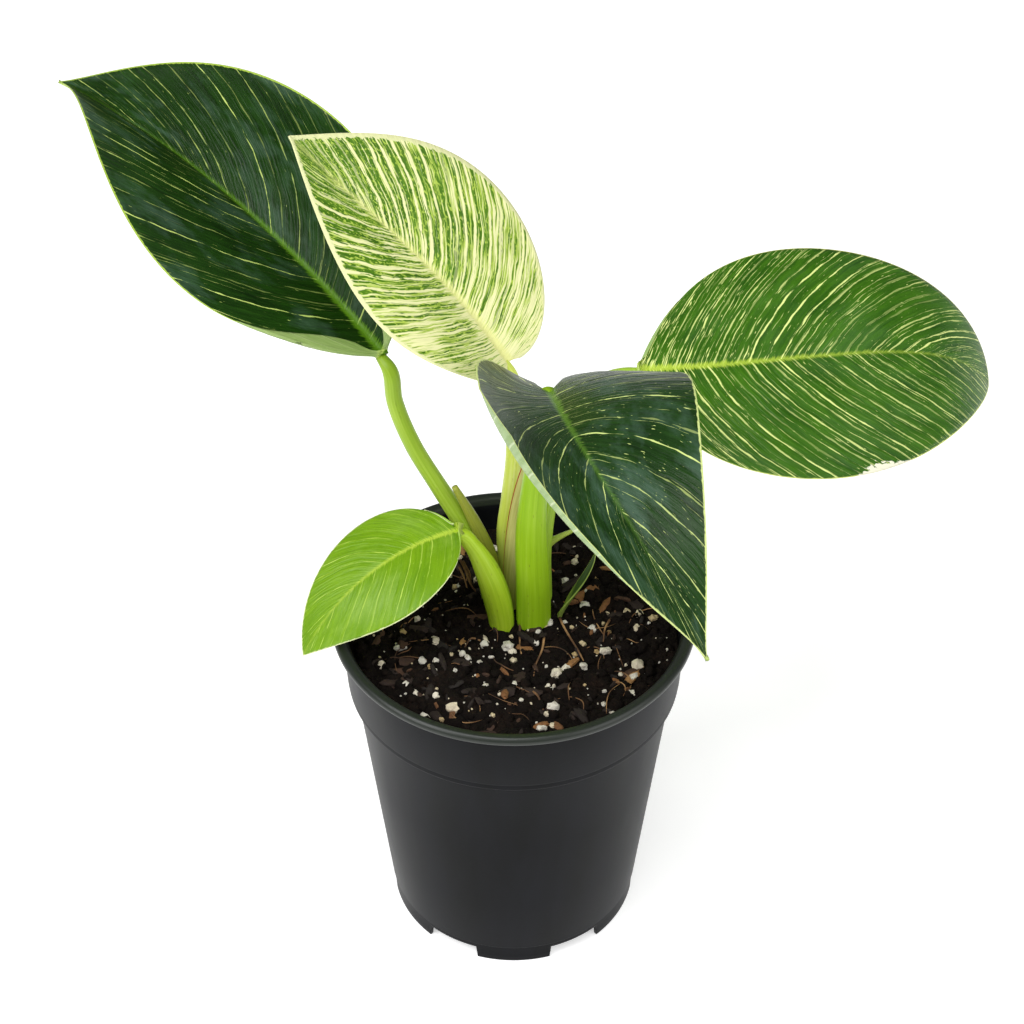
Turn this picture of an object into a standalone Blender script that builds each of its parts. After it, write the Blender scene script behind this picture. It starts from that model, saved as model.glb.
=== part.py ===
"""A philodendron birkin in its nursery pot: five leaves on petioles, two leaf scales, crown, soil and pot."""

import math

import bmesh
import bpy
import numpy as np
from mathutils import Vector, noise

MM = 0.001

# Pot, in millimetres: a deep nursery pot 108 mm across its lip.
LIP_RADIUS = 54.0
POT_HEIGHT = 115.6
FOOT_RADIUS = 39.0
FOOT_LINE_Z = 7.0
WALL_TOP_RADIUS = 47.9
BAND_BOTTOM_Z = 90.6
BAND_BOTTOM_RADIUS = 49.8
BAND_TOP_RADIUS = 50.6
BAND_TOP_Z = 112.4
WALL = 1.2
FLOOR = 1.6
FLOOR_RADIUS = 30.0
CHANNEL_TOP = 6.8
NOTCH_HEIGHT = 5.0
FEET = 6
NOTCH_DEGREES = 26.0
DRAIN_RADIUS = 1.7
DRAIN_CIRCLE = 35.0
TURN_STEPS = 64

# Clearance between pieces that touch.
GAP = 0.3

# Soil, filled to about a centimetre under the lip.
SOIL_TOP = 105.0
SOIL_RELIEF = 2.4
SOIL_GRAIN = 7.0
SOIL_RINGS = 10
GRAIN_COUNT = 60

# Crown: the short stem under the soil that carries every petiole.
CROWN_CENTRE = (0.8, 9.0)
CROWN_RADIUS = 13.6
STEM_HOLE_RADIUS = 8.0
CROWN_TOP = 102.4
CROWN_BOTTOM = 74.0
PETIOLE_FOOT = CROWN_TOP - 1.2

# Blades. The outline is a pointed teardrop with basal lobes, and each row of points runs along a side vein.
BLADE_THICKNESS = 0.8
MIDRIB_THICKNESS = 3.0
BLADE_ROWS = 18
BLADE_HALF_COLUMNS = 5
VEIN_FAN = 0.16
VEIN_SWEEP = 1.67
FIRST_ROW = 0.03
LOBE_PLACE = 0.10
VEIN_BOW = (0.30, 0.62)

# For each leaf: the point where the petiole meets the blade; length and half widths in mm; lobe as a share
# of the length; tip, a higher value is more pointed; heading, rise and roll in degrees at the base, and what
# is added to them by the tip; fold and curl of the left and right halves, in degrees, at the base and the tip.
LEAVES = {
    "back": {
        "base": (-37.2, 29.6, 186.1), "length": 151.6, "half": (44.5, 43.1), "lobe": -0.07, "tip": 1.36,
        "heading": (133, 4), "rise": (26, -33, 4.5), "roll": (-17, 2),
        "fold": ((29, 62), (33, 40)), "curl": ((5, -57), (31, 38)),
    },
    "centre": {
        "base": (-1.6, 25.6, 186.6), "length": 91.2, "half": (34.0, 35.0), "lobe": 0.03, "tip": 1.04,
        "heading": (150, 43), "rise": (51.5, -25, 29), "roll": (-1, -37),
        "fold": ((24, 12), (10, 23)), "curl": ((1.5, -34), (-16, -1.5)),
    },
    "right": {
        "base": (36.4, 39.8, 173.7), "length": 130.0, "half": (36.7, 37.9), "lobe": -0.02, "tip": 0.68,
        "heading": (-7.4, 50), "rise": (6.5, 0.4, -64), "roll": (16, 34),
        "fold": ((2, 13), (6.4, 2.6)), "curl": ((-1, -52), (-17, -16)),
    },
    "front": {
        "base": (9.8, 1.1, 195.2), "length": 106.6, "half": (34.5, 25.5), "lobe": 0.18, "tip": 1.51,
        "heading": (-85, 39), "rise": (25.6, -59, -18.4), "roll": (6.4, 7),
        "fold": ((21, 24), (11, 18)), "curl": ((-49, 30), (55.5, 14)),
    },
    "small": {
        "base": (-16.2, 6.2, 140.6), "length": 61.0, "half": (19.3, 17.5), "lobe": -0.02, "tip": 0.93,
        "heading": (-155.4, 8.4), "rise": (4, -63, -2), "roll": (-1, -13.5),
        "fold": ((10, -12), (4.5, 2)), "curl": ((-7, -19), (-10, -19.5)),
    },
}

# Leaf scales are narrow sheets of the same make, standing on the crown.
SCALES = {
    "cataphyll_centre": {
        "base": (-0.5, 9.8, PETIOLE_FOOT), "length": 66.0, "half": (4.5, 4.5), "lobe": 0.0, "tip": 0.55,
        "heading": (20, 0), "rise": (87, -2, -3), "roll": (65, 0),
        "fold": ((0, 0), (0, 0)), "curl": ((-60, -30), (-60, -30)),
    },
    "cataphyll_side": {
        "base": (12.8, 7.6, PETIOLE_FOOT), "length": 31.0, "half": (1.7, 1.7), "lobe": 0.0, "tip": 0.4,
        "heading": (-60, 120), "rise": (76, -30, 10), "roll": (0, 0),
        "fold": ((10, 10), (10, 10)), "curl": ((40, 30), (40, 30)),
    },
}
SCALE_THICKNESS = 0.9
SCALE_ROWS = 12
SCALE_HALF_COLUMNS = 3

# Petioles: points on the centreline, from the crown to just short of the blade, and the radius at each.
PETIOLES = {
    "back": (((-6.2, 13.0, PETIOLE_FOOT), 3.4), ((-6.2, 13.0, 106), 3.4), ((-8.0, 13.8, 117), 3.4),
             ((-11.6, 15.2, 127), 3.1), ((-15.6, 17.0, 135.2), 2.9), ((-22.0, 19.7, 145.9), 2.6),
             ((-29.7, 23.0, 159.9), 2.5), ((-34.2, 26.0, 172.5), 2.4)),
    "centre": (((0.0, 17.2, PETIOLE_FOOT), 3.0), ((0.0, 17.2, 106), 3.0), ((-1.9, 17.2, 120), 2.8),
               ((-2.4, 17.4, 130), 2.7), ((-1.2, 18.4, 143), 2.5), ((0.1, 20.9, 158), 2.4),
               ((-0.4, 23.2, 172), 2.3)),
    "right": (((8.6, 15.0, PETIOLE_FOOT), 3.0), ((8.6, 15.0, 106), 3.0), ((8.4, 17.6, 124), 2.9),
              ((10.6, 23, 142), 2.8), ((15, 30, 158), 2.6), ((22, 36, 167), 2.4), ((28.0, 38.8, 170.8), 2.3)),
    "front": (((5.9, 4.4, PETIOLE_FOOT), 5.2), ((5.9, 4.4, 106), 5.2), ((5.8, 4.4, 118), 5.1),
              ((5.1, 4.7, 144), 4.4), ((6.0, 4.9, 160), 3.6), ((7.8, 4.2, 178), 2.9),
              ((9.6, 1.5, 195.0), 2.4)),
    "small": (((-3.6, 3.2, PETIOLE_FOOT), 3.8), ((-3.6, 3.2, 106), 3.8), ((-4.8, 3.2, 115.7), 4.1),
              ((-8.1, 4.6, 127), 3.6), ((-12.0, 6.2, 134.4), 2.5)),
}
# How each petiole meets its blade: end on to the midrib, or from below.
SEATED_BELOW = ("front",)
PETIOLE_ENDS = ((3.5, 2.0, 0.9), (0.8, 1.6, 0.75))
# Side growths fused to a petiole: the open edge of its sheath, and a dry sheath tip.
SHEATH_EDGES = {
    "back": (((-6.4, 12.8, 110), 3.1), ((-6.6, 13.0, 118), 2.9), ((-7.8, 13.4, 125.5), 2.5),
             ((-9.6, 14.0, 131.5), 2.1), ((-12.4, 14.8, 138.5), 1.7), ((-17.2, 15.6, 149.0), 0.9)),
    "right": (((8.5, 18.0, 121.5), 1.8), ((10.6, 18.0, 125.3), 1.3),
              ((13.8, 18.4, 127.4), 0.9), ((17.4, 19.6, 128.6), 0.6)),
}
TUBE_SIDES = 3
PATH_POINTS = 20

LEAF_GREEN = (0.03, 0.11, 0.03)
MID_GREEN = (0.06, 0.19, 0.02)
YOUNG_GREEN = (0.22, 0.42, 0.04)
STEM_GREEN = (0.33, 0.50, 0.07)
STRIPED_CREAM = (0.62, 0.72, 0.30)
SCALE_PINK = (0.62, 0.45, 0.22)
CROWN_BROWN = (0.25, 0.30, 0.10)
BLACK_PLASTIC = (0.035, 0.037, 0.038)
PEAT = (0.03, 0.018, 0.010)
COLOURS = {
    "back": LEAF_GREEN, "front": LEAF_GREEN, "right": MID_GREEN, "centre": STRIPED_CREAM, "small": YOUNG_GREEN,
}


def clear_scene():
    for obj in list(bpy.data.objects):
        bpy.data.objects.remove(obj)


def new_collection(name):
    group = bpy.data.collections.new(name)
    bpy.context.scene.collection.children.link(group)
    return group


def finish(name, colour, roughness):
    material = bpy.data.materials.new(name)
    material.use_nodes = True
    shader = material.node_tree.nodes["Principled BSDF"]
    shader.inputs["Base Color"].default_value = (*colour, 1)
    shader.inputs["Roughness"].default_value = roughness
    shader.inputs["Metallic"].default_value = 0.0
    return material


def add_object(name, data, group, material=None):
    obj = bpy.data.objects.new(name, data)
    group.objects.link(obj)
    if material:
        data.materials.append(material)
    return obj


def mesh_from(name, bm):
    mesh = bpy.data.meshes.new(name)
    bm.to_mesh(mesh)
    bm.free()
    return mesh


def as_cutter(obj):
    obj.hide_render = True
    obj.display_type = "WIRE"


def profile_mesh(name, points):
    """An open chain of edges in the XZ plane, from (radius, height) pairs in millimetres."""
    bm = bmesh.new()
    chain = [bm.verts.new((r * MM, 0, z * MM)) for r, z in points]
    for a, b in zip(chain, chain[1:]):
        bm.edges.new((a, b))
    return mesh_from(name, bm)


def turn(obj, steps=TURN_STEPS):
    screw = obj.modifiers.new("turn", "SCREW")
    screw.steps = screw.render_steps = steps
    screw.use_merge_vertices = True
    screw.merge_threshold = 0.00001
    screw.use_smooth_shade = True


def boolean(obj, name, operation, group):
    join = obj.modifiers.new(name, "BOOLEAN")
    join.operation = operation
    join.operand_type = "COLLECTION"
    join.collection = group


def wall_radius(z):
    """Outer radius of the tapered wall at height z."""
    share = (z - FOOT_LINE_Z) / (BAND_BOTTOM_Z - FOOT_LINE_Z)
    return FOOT_RADIUS + 0.3 + share * (WALL_TOP_RADIUS - FOOT_RADIUS - 0.3)


def inner_radius(z):
    """Inner radius of the pot at height z, above its floor."""
    if z < BAND_BOTTOM_Z:
        return wall_radius(z) - WALL
    share = (z - BAND_BOTTOM_Z) / (BAND_TOP_Z - BAND_BOTTOM_Z)
    return BAND_BOTTOM_RADIUS + share * (BAND_TOP_RADIUS - BAND_BOTTOM_RADIUS) - WALL


def pot_profile():
    """Section of the pot, from the floor's middle up the inside, over the lip and down the outside."""
    lip_top = POT_HEIGHT
    return [
        (0, FLOOR),
        (FLOOR_RADIUS - 1.6, FLOOR),
        (FLOOR_RADIUS + 1.0, CHANNEL_TOP),
        (inner_radius(CHANNEL_TOP), CHANNEL_TOP),
        (inner_radius(48), 48),
        (inner_radius(BAND_BOTTOM_Z - 0.1), BAND_BOTTOM_Z - 0.1),
        (inner_radius(BAND_BOTTOM_Z + 1.2), BAND_BOTTOM_Z + 1.2),
        (inner_radius(BAND_TOP_Z), BAND_TOP_Z),
        (BAND_TOP_RADIUS + 0.1, lip_top - 0.9),
        (BAND_TOP_RADIUS + 1.2, lip_top),
        (LIP_RADIUS - 0.9, lip_top - 0.1),
        (LIP_RADIUS - 0.1, lip_top - 0.9),
        (LIP_RADIUS, lip_top - 1.7),
        (LIP_RADIUS - 0.9, lip_top - 2.4),
        (BAND_TOP_RADIUS + 0.3, lip_top - 2.9),
        (BAND_BOTTOM_RADIUS, BAND_BOTTOM_Z + 0.5),
        (BAND_BOTTOM_RADIUS - 0.5, BAND_BOTTOM_Z),
        (WALL_TOP_RADIUS, BAND_BOTTOM_Z - 0.3),
        (wall_radius(48), 48),
        (FOOT_RADIUS + 0.3, FOOT_LINE_Z),
        (FOOT_RADIUS, FOOT_LINE_Z - 0.3),
        (FOOT_RADIUS - 0.3, 0),
        (FOOT_RADIUS - 0.3 - WALL, 0),
        (FOOT_RADIUS - 0.2 - WALL, CHANNEL_TOP - FLOOR),
        (FLOOR_RADIUS + 2.6, CHANNEL_TOP - FLOOR),
        (FLOOR_RADIUS, 0),
        (0, 0),
    ]


def notch_cutter(name, angle, group):
    """A block through the foot ring between two feet, wider at the bottom."""
    bm = bmesh.new()
    bmesh.ops.create_cube(bm, size=1.0)
    half = FOOT_RADIUS * math.sin(math.radians(NOTCH_DEGREES / 2))
    for v in bm.verts:
        low = v.co.z < 0
        side = half * 2 * (1.04 if low else 0.92)
        height = -1.0 if low else NOTCH_HEIGHT
        v.co = Vector((FOOT_RADIUS + v.co.x * 8, v.co.y * side, height)) * MM
    obj = add_object(name, mesh_from(name, bm), group)
    obj.rotation_euler.z = angle
    as_cutter(obj)


def drain_cutter(name, centre, group):
    bm = bmesh.new()
    radius = DRAIN_RADIUS * MM
    bmesh.ops.create_cone(bm, cap_ends=True, segments=16, radius1=radius, radius2=radius, depth=8 * MM)
    obj = add_object(name, mesh_from(name, bm), group)
    obj.location = (centre[0] * MM, centre[1] * MM, (CHANNEL_TOP - FLOOR / 2) * MM)
    as_cutter(obj)


def make_pot(group, cutters):
    section = profile_mesh("nursery_pot", pot_profile())
    obj = add_object("nursery_pot", section, group, finish("pot", BLACK_PLASTIC, 0.5))
    turn(obj)
    for k in range(FEET):
        angle = math.radians(-90 + 360 / FEET * (k + 0.5))
        notch_cutter(f"notch_{k}", angle, cutters)
        floor_angle = math.radians(-90 + 360 / FEET * k)
        centre = (DRAIN_CIRCLE * math.cos(floor_angle), DRAIN_CIRCLE * math.sin(floor_angle))
        drain_cutter(f"drain_{k}", centre, cutters)
    boolean(obj, "feet and drains", "DIFFERENCE", cutters)


def soil_profile():
    """Section of the soil, a gap inside the pot, with the points of its top close enough for the relief."""
    top = [(r, SOIL_TOP) for r in np.linspace(0, inner_radius(SOIL_TOP) - GAP - 1.2, SOIL_RINGS)]
    side = [
        (inner_radius(SOIL_TOP) - GAP - 0.1, SOIL_TOP - 2.6),
        (inner_radius(BAND_BOTTOM_Z + 1.2) - GAP - 0.1, BAND_BOTTOM_Z + 1.5),
        (inner_radius(BAND_BOTTOM_Z - 0.1) - GAP - 0.1, BAND_BOTTOM_Z + 0.2),
        (inner_radius(CHANNEL_TOP) - GAP - 0.1, CHANNEL_TOP + GAP),
        (FLOOR_RADIUS + 0.8, CHANNEL_TOP + GAP),
        (FLOOR_RADIUS - 1.9, FLOOR + GAP),
        (0, FLOOR + GAP),
    ]
    return top, side


def add_grain(name, place, size, kind, group):
    """One lump half sunk in the soil: a perlite grain of five-fold form, or a long flat bark chip."""
    bm = bmesh.new()
    if kind == "perlite":
        bmesh.ops.create_icosphere(bm, subdivisions=1, radius=0.5)
    else:
        bmesh.ops.create_cube(bm, size=1.0)
    for v in bm.verts:
        v.co *= 1 + 0.25 * noise.noise(v.co * 1.7 + Vector(place))
    obj = add_object(name, mesh_from(name, bm), group)
    obj.location = Vector(place) * MM
    obj.scale = Vector(size) * MM
    as_cutter(obj)
    return obj


def make_grains(group):
    """Perlite and bark spread over the soil by a sunflower rule, with a seeded draw for size and turn."""
    draw = np.random.default_rng(7)
    most = inner_radius(SOIL_TOP) - 5
    for k in range(GRAIN_COUNT):
        radius = most * math.sqrt((k + 0.7) / GRAIN_COUNT)
        angle = k * math.radians(137.508)
        x = radius * math.cos(angle)
        y = radius * math.sin(angle)
        beside = math.hypot(x - CROWN_CENTRE[0], y - CROWN_CENTRE[1]) < CROWN_RADIUS + 3.5
        if beside:
            continue
        height = SOIL_TOP + soil_relief(x, y)
        if k % 3 == 2:
            size = (draw.uniform(5, 9), draw.uniform(2, 3.5), draw.uniform(1.5, 2.5))
            grain = add_grain(f"bark_{k}", (x, y, height - 0.2), size, "bark", group)
        else:
            across = draw.uniform(2.2, 4.6)
            size = (across, across * draw.uniform(0.7, 1), across * draw.uniform(0.7, 1))
            grain = add_grain(f"perlite_{k}", (x, y, height + 0.1), size, "perlite", group)
        grain.rotation_euler = draw.uniform((-0.3, -0.3, 0), (0.3, 0.3, math.pi))


def soil_relief(x, y):
    """Height of the crumbly soil above its mean level at a point, in millimetres."""
    near_wall = min(1.0, max(0.0, (inner_radius(SOIL_TOP) - 2 - math.hypot(x, y)) / 6))
    coarse = noise.noise(Vector((x, y, 3)) / SOIL_GRAIN)
    fine = noise.noise(Vector((x, y, 9)) / (SOIL_GRAIN / 2))
    return SOIL_RELIEF * 0.6 * (coarse + 0.5 * fine) * near_wall


def make_soil(group, grains, holes):
    top, side = soil_profile()
    bm = bmesh.new()
    rings = [(r * MM, z * MM) for r, z in top + side]
    turned = []
    for r, z in rings:
        if r == 0:
            turned.append([bm.verts.new((0, 0, z))])
            continue
        circle = [2 * math.pi * k / TURN_STEPS for k in range(TURN_STEPS)]
        turned.append([bm.verts.new((r * math.cos(a), r * math.sin(a), z)) for a in circle])
    for a, b in zip(turned, turned[1:]):
        for k in range(TURN_STEPS):
            ring = [a[k % len(a)], b[k % len(b)], b[(k + 1) % len(b)], a[(k + 1) % len(a)]]
            bm.faces.new(list(dict.fromkeys(ring)))
    for ring in turned[: len(top)]:
        for v in ring:
            v.co.z += soil_relief(v.co.x / MM, v.co.y / MM) * MM
    bmesh.ops.triangulate(bm, faces=bm.faces)
    bmesh.ops.recalc_face_normals(bm, faces=bm.faces)
    obj = add_object("potting_soil", mesh_from("potting_soil", bm), group, finish("soil", PEAT, 0.95))
    boolean(obj, "perlite and bark", "UNION", grains)
    boolean(obj, "holes for the stems", "DIFFERENCE", holes)


def smooth_path(knots, count):
    """Points and radii along a smooth curve through the knots, evenly spaced by length."""
    rows = np.array([[*point, radius] for point, radius in knots], float)
    steps = np.diff(rows, axis=0)
    spans = np.linalg.norm(steps[:, :3], axis=1)
    slopes = steps / spans[:, None]
    before, after = spans[:-1, None], spans[1:, None]
    inner = (slopes[:-1] * after + slopes[1:] * before) / (before + after)
    tangents = np.vstack([slopes[0], inner, slopes[-1]])
    lengths = np.concatenate([[0], np.cumsum(spans)])
    at = np.linspace(0, lengths[-1], count)
    i = np.clip(np.searchsorted(lengths, at, "right") - 1, 0, len(spans) - 1)
    span = spans[i][:, None]
    t = (at - lengths[i])[:, None] / span
    return (
        (2 * t**3 - 3 * t**2 + 1) * rows[i] + (t**3 - 2 * t**2 + t) * span * tangents[i]
        + (3 * t**2 - 2 * t**3) * rows[i + 1] + (t**3 - t**2) * span * tangents[i + 1]
    )


def tube_curve(name, knots, extra=0.0, count=PATH_POINTS):
    curve = bpy.data.curves.new(name, "CURVE")
    curve.dimensions = "3D"
    curve.bevel_depth = MM
    curve.bevel_resolution = TUBE_SIDES
    curve.use_fill_caps = True
    path = smooth_path(knots, count)
    spline = curve.splines.new("POLY")
    spline.points.add(len(path) - 1)
    for point, (x, y, z, radius) in zip(spline.points, path):
        point.co = (x * MM, y * MM, z * MM, 1)
        point.radius = radius + extra
    return curve


def tube_mesh(name, knots, extra=0.0, count=PATH_POINTS):
    """The tube as a welded mesh, which a Boolean can use."""
    scratch = bpy.data.objects.new(name + "_curve", tube_curve(name, knots, extra, count))
    bpy.context.scene.collection.objects.link(scratch)
    bpy.context.view_layer.update()
    mesh = bpy.data.meshes.new_from_object(scratch.evaluated_get(bpy.context.evaluated_depsgraph_get()))
    bpy.data.objects.remove(scratch)
    bm = bmesh.new()
    bm.from_mesh(mesh)
    bmesh.ops.remove_doubles(bm, verts=bm.verts, dist=0.000001)
    bmesh.ops.recalc_face_normals(bm, faces=bm.faces)
    bm.to_mesh(mesh)
    bm.free()
    return mesh


def blade_frame(leaf):
    """Forward, across and upward directions where the blade begins."""
    heading = math.radians(leaf["heading"][0])
    rise = math.radians(leaf["rise"][0])
    forward = Vector((math.cos(rise) * math.cos(heading), math.cos(rise) * math.sin(heading), math.sin(rise)))
    across = Vector((-math.sin(heading), math.cos(heading), 0))
    return forward, across, forward.cross(across)


def seat_cutter(name, leaf, group):
    """A block whose under side lies a gap below the blade where the petiole meets it."""
    forward, across, upward = blade_frame(leaf)
    bm = bmesh.new()
    bmesh.ops.create_cube(bm, size=1.0)
    for v in bm.verts:
        place = forward * v.co.x * 16 + across * v.co.y * 16 + upward * (v.co.z + 0.5) * 10
        v.co = (Vector(leaf["base"]) + place - upward * (MIDRIB_THICKNESS + GAP - 0.1)) * MM
    as_cutter(add_object(name, mesh_from(name, bm), group))


def knots_to_blade(name):
    """The petiole's knots, with two more that bring it to the end of the midrib, a gap short of the blade."""
    knots = PETIOLES[name]
    if name in SEATED_BELOW:
        return knots
    leaf = LEAVES[name]
    forward, _, upward = blade_frame(leaf)
    ends = []
    for behind, below, taper in PETIOLE_ENDS:
        place = Vector(leaf["base"]) - forward * behind - upward * below
        ends.append((tuple(place), knots[-1][1] * taper))
    return (*knots, *ends)


def hole_cutter(name, knots, group):
    """A plain hole in the soil round the foot of a stem."""
    start, radius = knots[0]
    below = (tuple(np.subtract(start, (0, 0, 4))), radius)
    as_cutter(add_object(name, tube_mesh(name, [below, *knots[:4]], extra=GAP + 0.2), group))


def make_petioles(group, holes, crown_space):
    green = finish("petiole", STEM_GREEN, 0.4)
    for name in PETIOLES:
        knots = knots_to_blade(name)
        obj = add_object(f"petiole_{name}", tube_mesh(f"petiole_{name}", knots), group, green)
        boolean(obj, "foot", "DIFFERENCE", crown_space)
        if name in SHEATH_EDGES:
            edge_group = new_collection(f"sheath_{name}")
            edge = tube_mesh(f"sheath_{name}", SHEATH_EDGES[name], count=10)
            as_cutter(add_object(f"sheath_{name}", edge, edge_group))
            boolean(obj, "sheath", "UNION", edge_group)
        if name in SEATED_BELOW:
            seats = new_collection(f"seat_{name}")
            seat_cutter(f"seat_{name}", LEAVES[name], seats)
            boolean(obj, "seat", "DIFFERENCE", seats)
        hole_cutter(f"hole_{name}", knots, holes)
    x, y = CROWN_CENTRE
    between = [((x, y, PETIOLE_FOOT), STEM_HOLE_RADIUS), ((x, y, SOIL_TOP + 6), STEM_HOLE_RADIUS)]
    hole_cutter("hole_between", between, holes)
    for name, scale in SCALES.items():
        x, y, z = scale["base"]
        radius = scale["half"][0] + 0.6
        hole_cutter(f"hole_{name}", [((x, y, z), radius), ((x, y, z + 8), radius)], holes)


def crown_part(name, extra, group):
    """The crown, or with extra the space it takes up."""
    bm = bmesh.new()
    bmesh.ops.create_cone(
        bm, cap_ends=True, segments=28, radius1=(CROWN_RADIUS * 0.72 + extra) * MM,
        radius2=(CROWN_RADIUS + extra) * MM, depth=(CROWN_TOP - CROWN_BOTTOM + 2 * extra) * MM,
    )
    obj = add_object(name, mesh_from(name, bm), group, finish("crown", CROWN_BROWN, 0.7))
    obj.location = (CROWN_CENTRE[0] * MM, CROWN_CENTRE[1] * MM, (CROWN_TOP + CROWN_BOTTOM) / 2 * MM)
    return obj


def flat_blade(t, q, half, leaf):
    """Place on the flat blade: t runs round the margin from base to tip, q from the midrib to the margin."""
    length, tip = leaf["length"], leaf["tip"]
    lobe = leaf["lobe"] * length * (t / LOBE_PLACE) * np.exp(1 - t / LOBE_PLACE)
    edge_x = length * (1 - np.cos(np.pi * t)) / 2 - lobe
    widest = 2 * math.atan(1 / math.sqrt(1 + tip))
    most = math.sin(widest) * math.cos(widest / 2) ** tip
    edge_y = half * np.sin(np.pi * t) * np.maximum(np.cos(np.pi * t / 2), 0) ** tip / most
    start = length * np.maximum(0, (t - VEIN_FAN) / (1 - VEIN_FAN)) ** VEIN_SWEEP
    bow_x = start + VEIN_BOW[0] * (edge_x - start)
    bow_y = VEIN_BOW[1] * edge_y
    x = (1 - q) ** 2 * start + 2 * q * (1 - q) * bow_x + q**2 * edge_x
    y = 2 * q * (1 - q) * bow_y + q**2 * edge_y
    return x, y


def bend(x, y, side, half, leaf):
    """Carries flat places onto the arched midrib and folds that half about it. Side is 1 left, -1 right."""
    length = leaf["length"]
    along = np.linspace(-0.3, 1.02, 400)
    heading = np.radians(leaf["heading"][0] + leaf["heading"][1] * along)
    rise = np.radians(leaf["rise"][0] + leaf["rise"][1] * along + leaf["rise"][2] * along * abs(along))
    roll = np.radians(leaf["roll"][0] + leaf["roll"][1] * along)[:, None]
    forward = np.stack([np.cos(rise) * np.cos(heading), np.cos(rise) * np.sin(heading), np.sin(rise)], -1)
    across = np.stack([-np.sin(heading), np.cos(heading), 0 * heading], -1)
    upward = np.cross(forward, across)
    level, square = across, upward
    across = level * np.cos(roll) + square * np.sin(roll)
    upward = square * np.cos(roll) - level * np.sin(roll)
    step = length * (along[1] - along[0])
    midrib = np.cumsum((forward + np.roll(forward, 1, 0)) / 2 * step, 0)

    def read(rows):
        return np.stack([np.interp(x / length, along, rows[:, k]) for k in range(3)], -1)

    start = np.array([np.interp(0, along, midrib[:, k]) for k in range(3)])
    share = np.clip(x / length, -0.2, 1)
    which = 0 if side > 0 else 1
    fold = np.radians(leaf["fold"][which][0] * (1 - share) + leaf["fold"][which][1] * share)
    curl = np.radians(leaf["curl"][which][0] * (1 - share) + leaf["curl"][which][1] * share)
    curl = np.where(np.abs(curl) < 0.001, 0.001, curl)
    out = half / curl * (np.sin(fold + curl * y / half) - np.sin(fold))
    up = half / curl * (np.cos(fold) - np.cos(fold + curl * y / half))
    carried = read(midrib) - start + np.array(leaf["base"])
    return carried + side * out[..., None] * read(across) + up[..., None] * read(upward)


def blade_sheet(name, leaf, rows, half_columns):
    """The blade's upper face as triangles, with a vertex group that thickens the midrib."""
    even = np.linspace(0, 1, rows + 1)
    t = FIRST_ROW + (1 - FIRST_ROW) * (0.5 * even + 0.25 * (1 - np.cos(np.pi * even)))
    q = np.linspace(0, 1, half_columns + 1) ** 1.2
    grid_t, grid_q = np.meshgrid(t, q, indexing="ij")
    bm = bmesh.new()
    weights = bm.verts.layers.deform.verify()
    halves = {}
    for side, half in ((1, leaf["half"][0]), (-1, leaf["half"][1])):
        halves[side] = bend(*flat_blade(grid_t, grid_q, half, leaf), side, half, leaf) * MM
    fan = int(np.sum(t <= VEIN_FAN))
    midrib = [bm.verts.new(halves[1][i, 0]) for i in range(fan - 1, rows + 1)]
    midrib = [midrib[0]] * (fan - 1) + midrib
    for i, v in enumerate(midrib):
        v[weights][0] = 1 - 0.8 * t[i]
    for side, places in halves.items():
        verts = [[midrib[i]] + [bm.verts.new(p) for p in places[i, 1:]] for i in range(rows)]
        verts.append([midrib[rows]] * (half_columns + 1))
        for i in range(rows):
            for j in range(half_columns):
                ring = [verts[i][j], verts[i + 1][j], verts[i + 1][j + 1], verts[i][j + 1]]
                ring = list(dict.fromkeys(ring if side > 0 else ring[::-1]))
                bm.faces.new(ring)
    bmesh.ops.triangulate(bm, faces=bm.faces)
    return mesh_from(name, bm)


def make_blade(name, leaf, group, material, thickness, rows, half_columns):
    thin, rib = thickness
    obj = add_object(name, blade_sheet(name, leaf, rows, half_columns), group, material)
    obj.vertex_groups.new(name="rib")
    shell = obj.modifiers.new("thickness", "SOLIDIFY")
    shell.thickness = rib * MM
    shell.offset = -1
    shell.vertex_group = "rib"
    shell.thickness_vertex_group = thin / rib
    return obj


def make_leaves(group, crown_space):
    for name, leaf in LEAVES.items():
        material = finish(f"blade_{name}", COLOURS[name], 0.35)
        thickness = (BLADE_THICKNESS, MIDRIB_THICKNESS)
        make_blade(f"blade_{name}", leaf, group, material, thickness, BLADE_ROWS, BLADE_HALF_COLUMNS)
    for name, scale in SCALES.items():
        thickness = (SCALE_THICKNESS, SCALE_THICKNESS)
        material = finish(name, SCALE_PINK, 0.5)
        sheet = make_blade(name, scale, group, material, thickness, SCALE_ROWS, SCALE_HALF_COLUMNS)
        boolean(sheet, "foot", "DIFFERENCE", crown_space)


def main():
    clear_scene()
    plant = new_collection("philodendron_birkin")
    cutters = new_collection("pot_cutters")
    grains = new_collection("soil_grains")
    holes = new_collection("soil_holes")
    crown_space = new_collection("crown_space")
    make_pot(plant, cutters)
    make_grains(grains)
    crown_part("root_crown", 0.0, plant)
    as_cutter(crown_part("hole_crown", GAP, crown_space))
    holes.children.link(crown_space)
    make_petioles(plant, holes, crown_space)
    make_soil(plant, grains, holes)
    make_leaves(plant, crown_space)


main()
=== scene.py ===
import math

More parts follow.
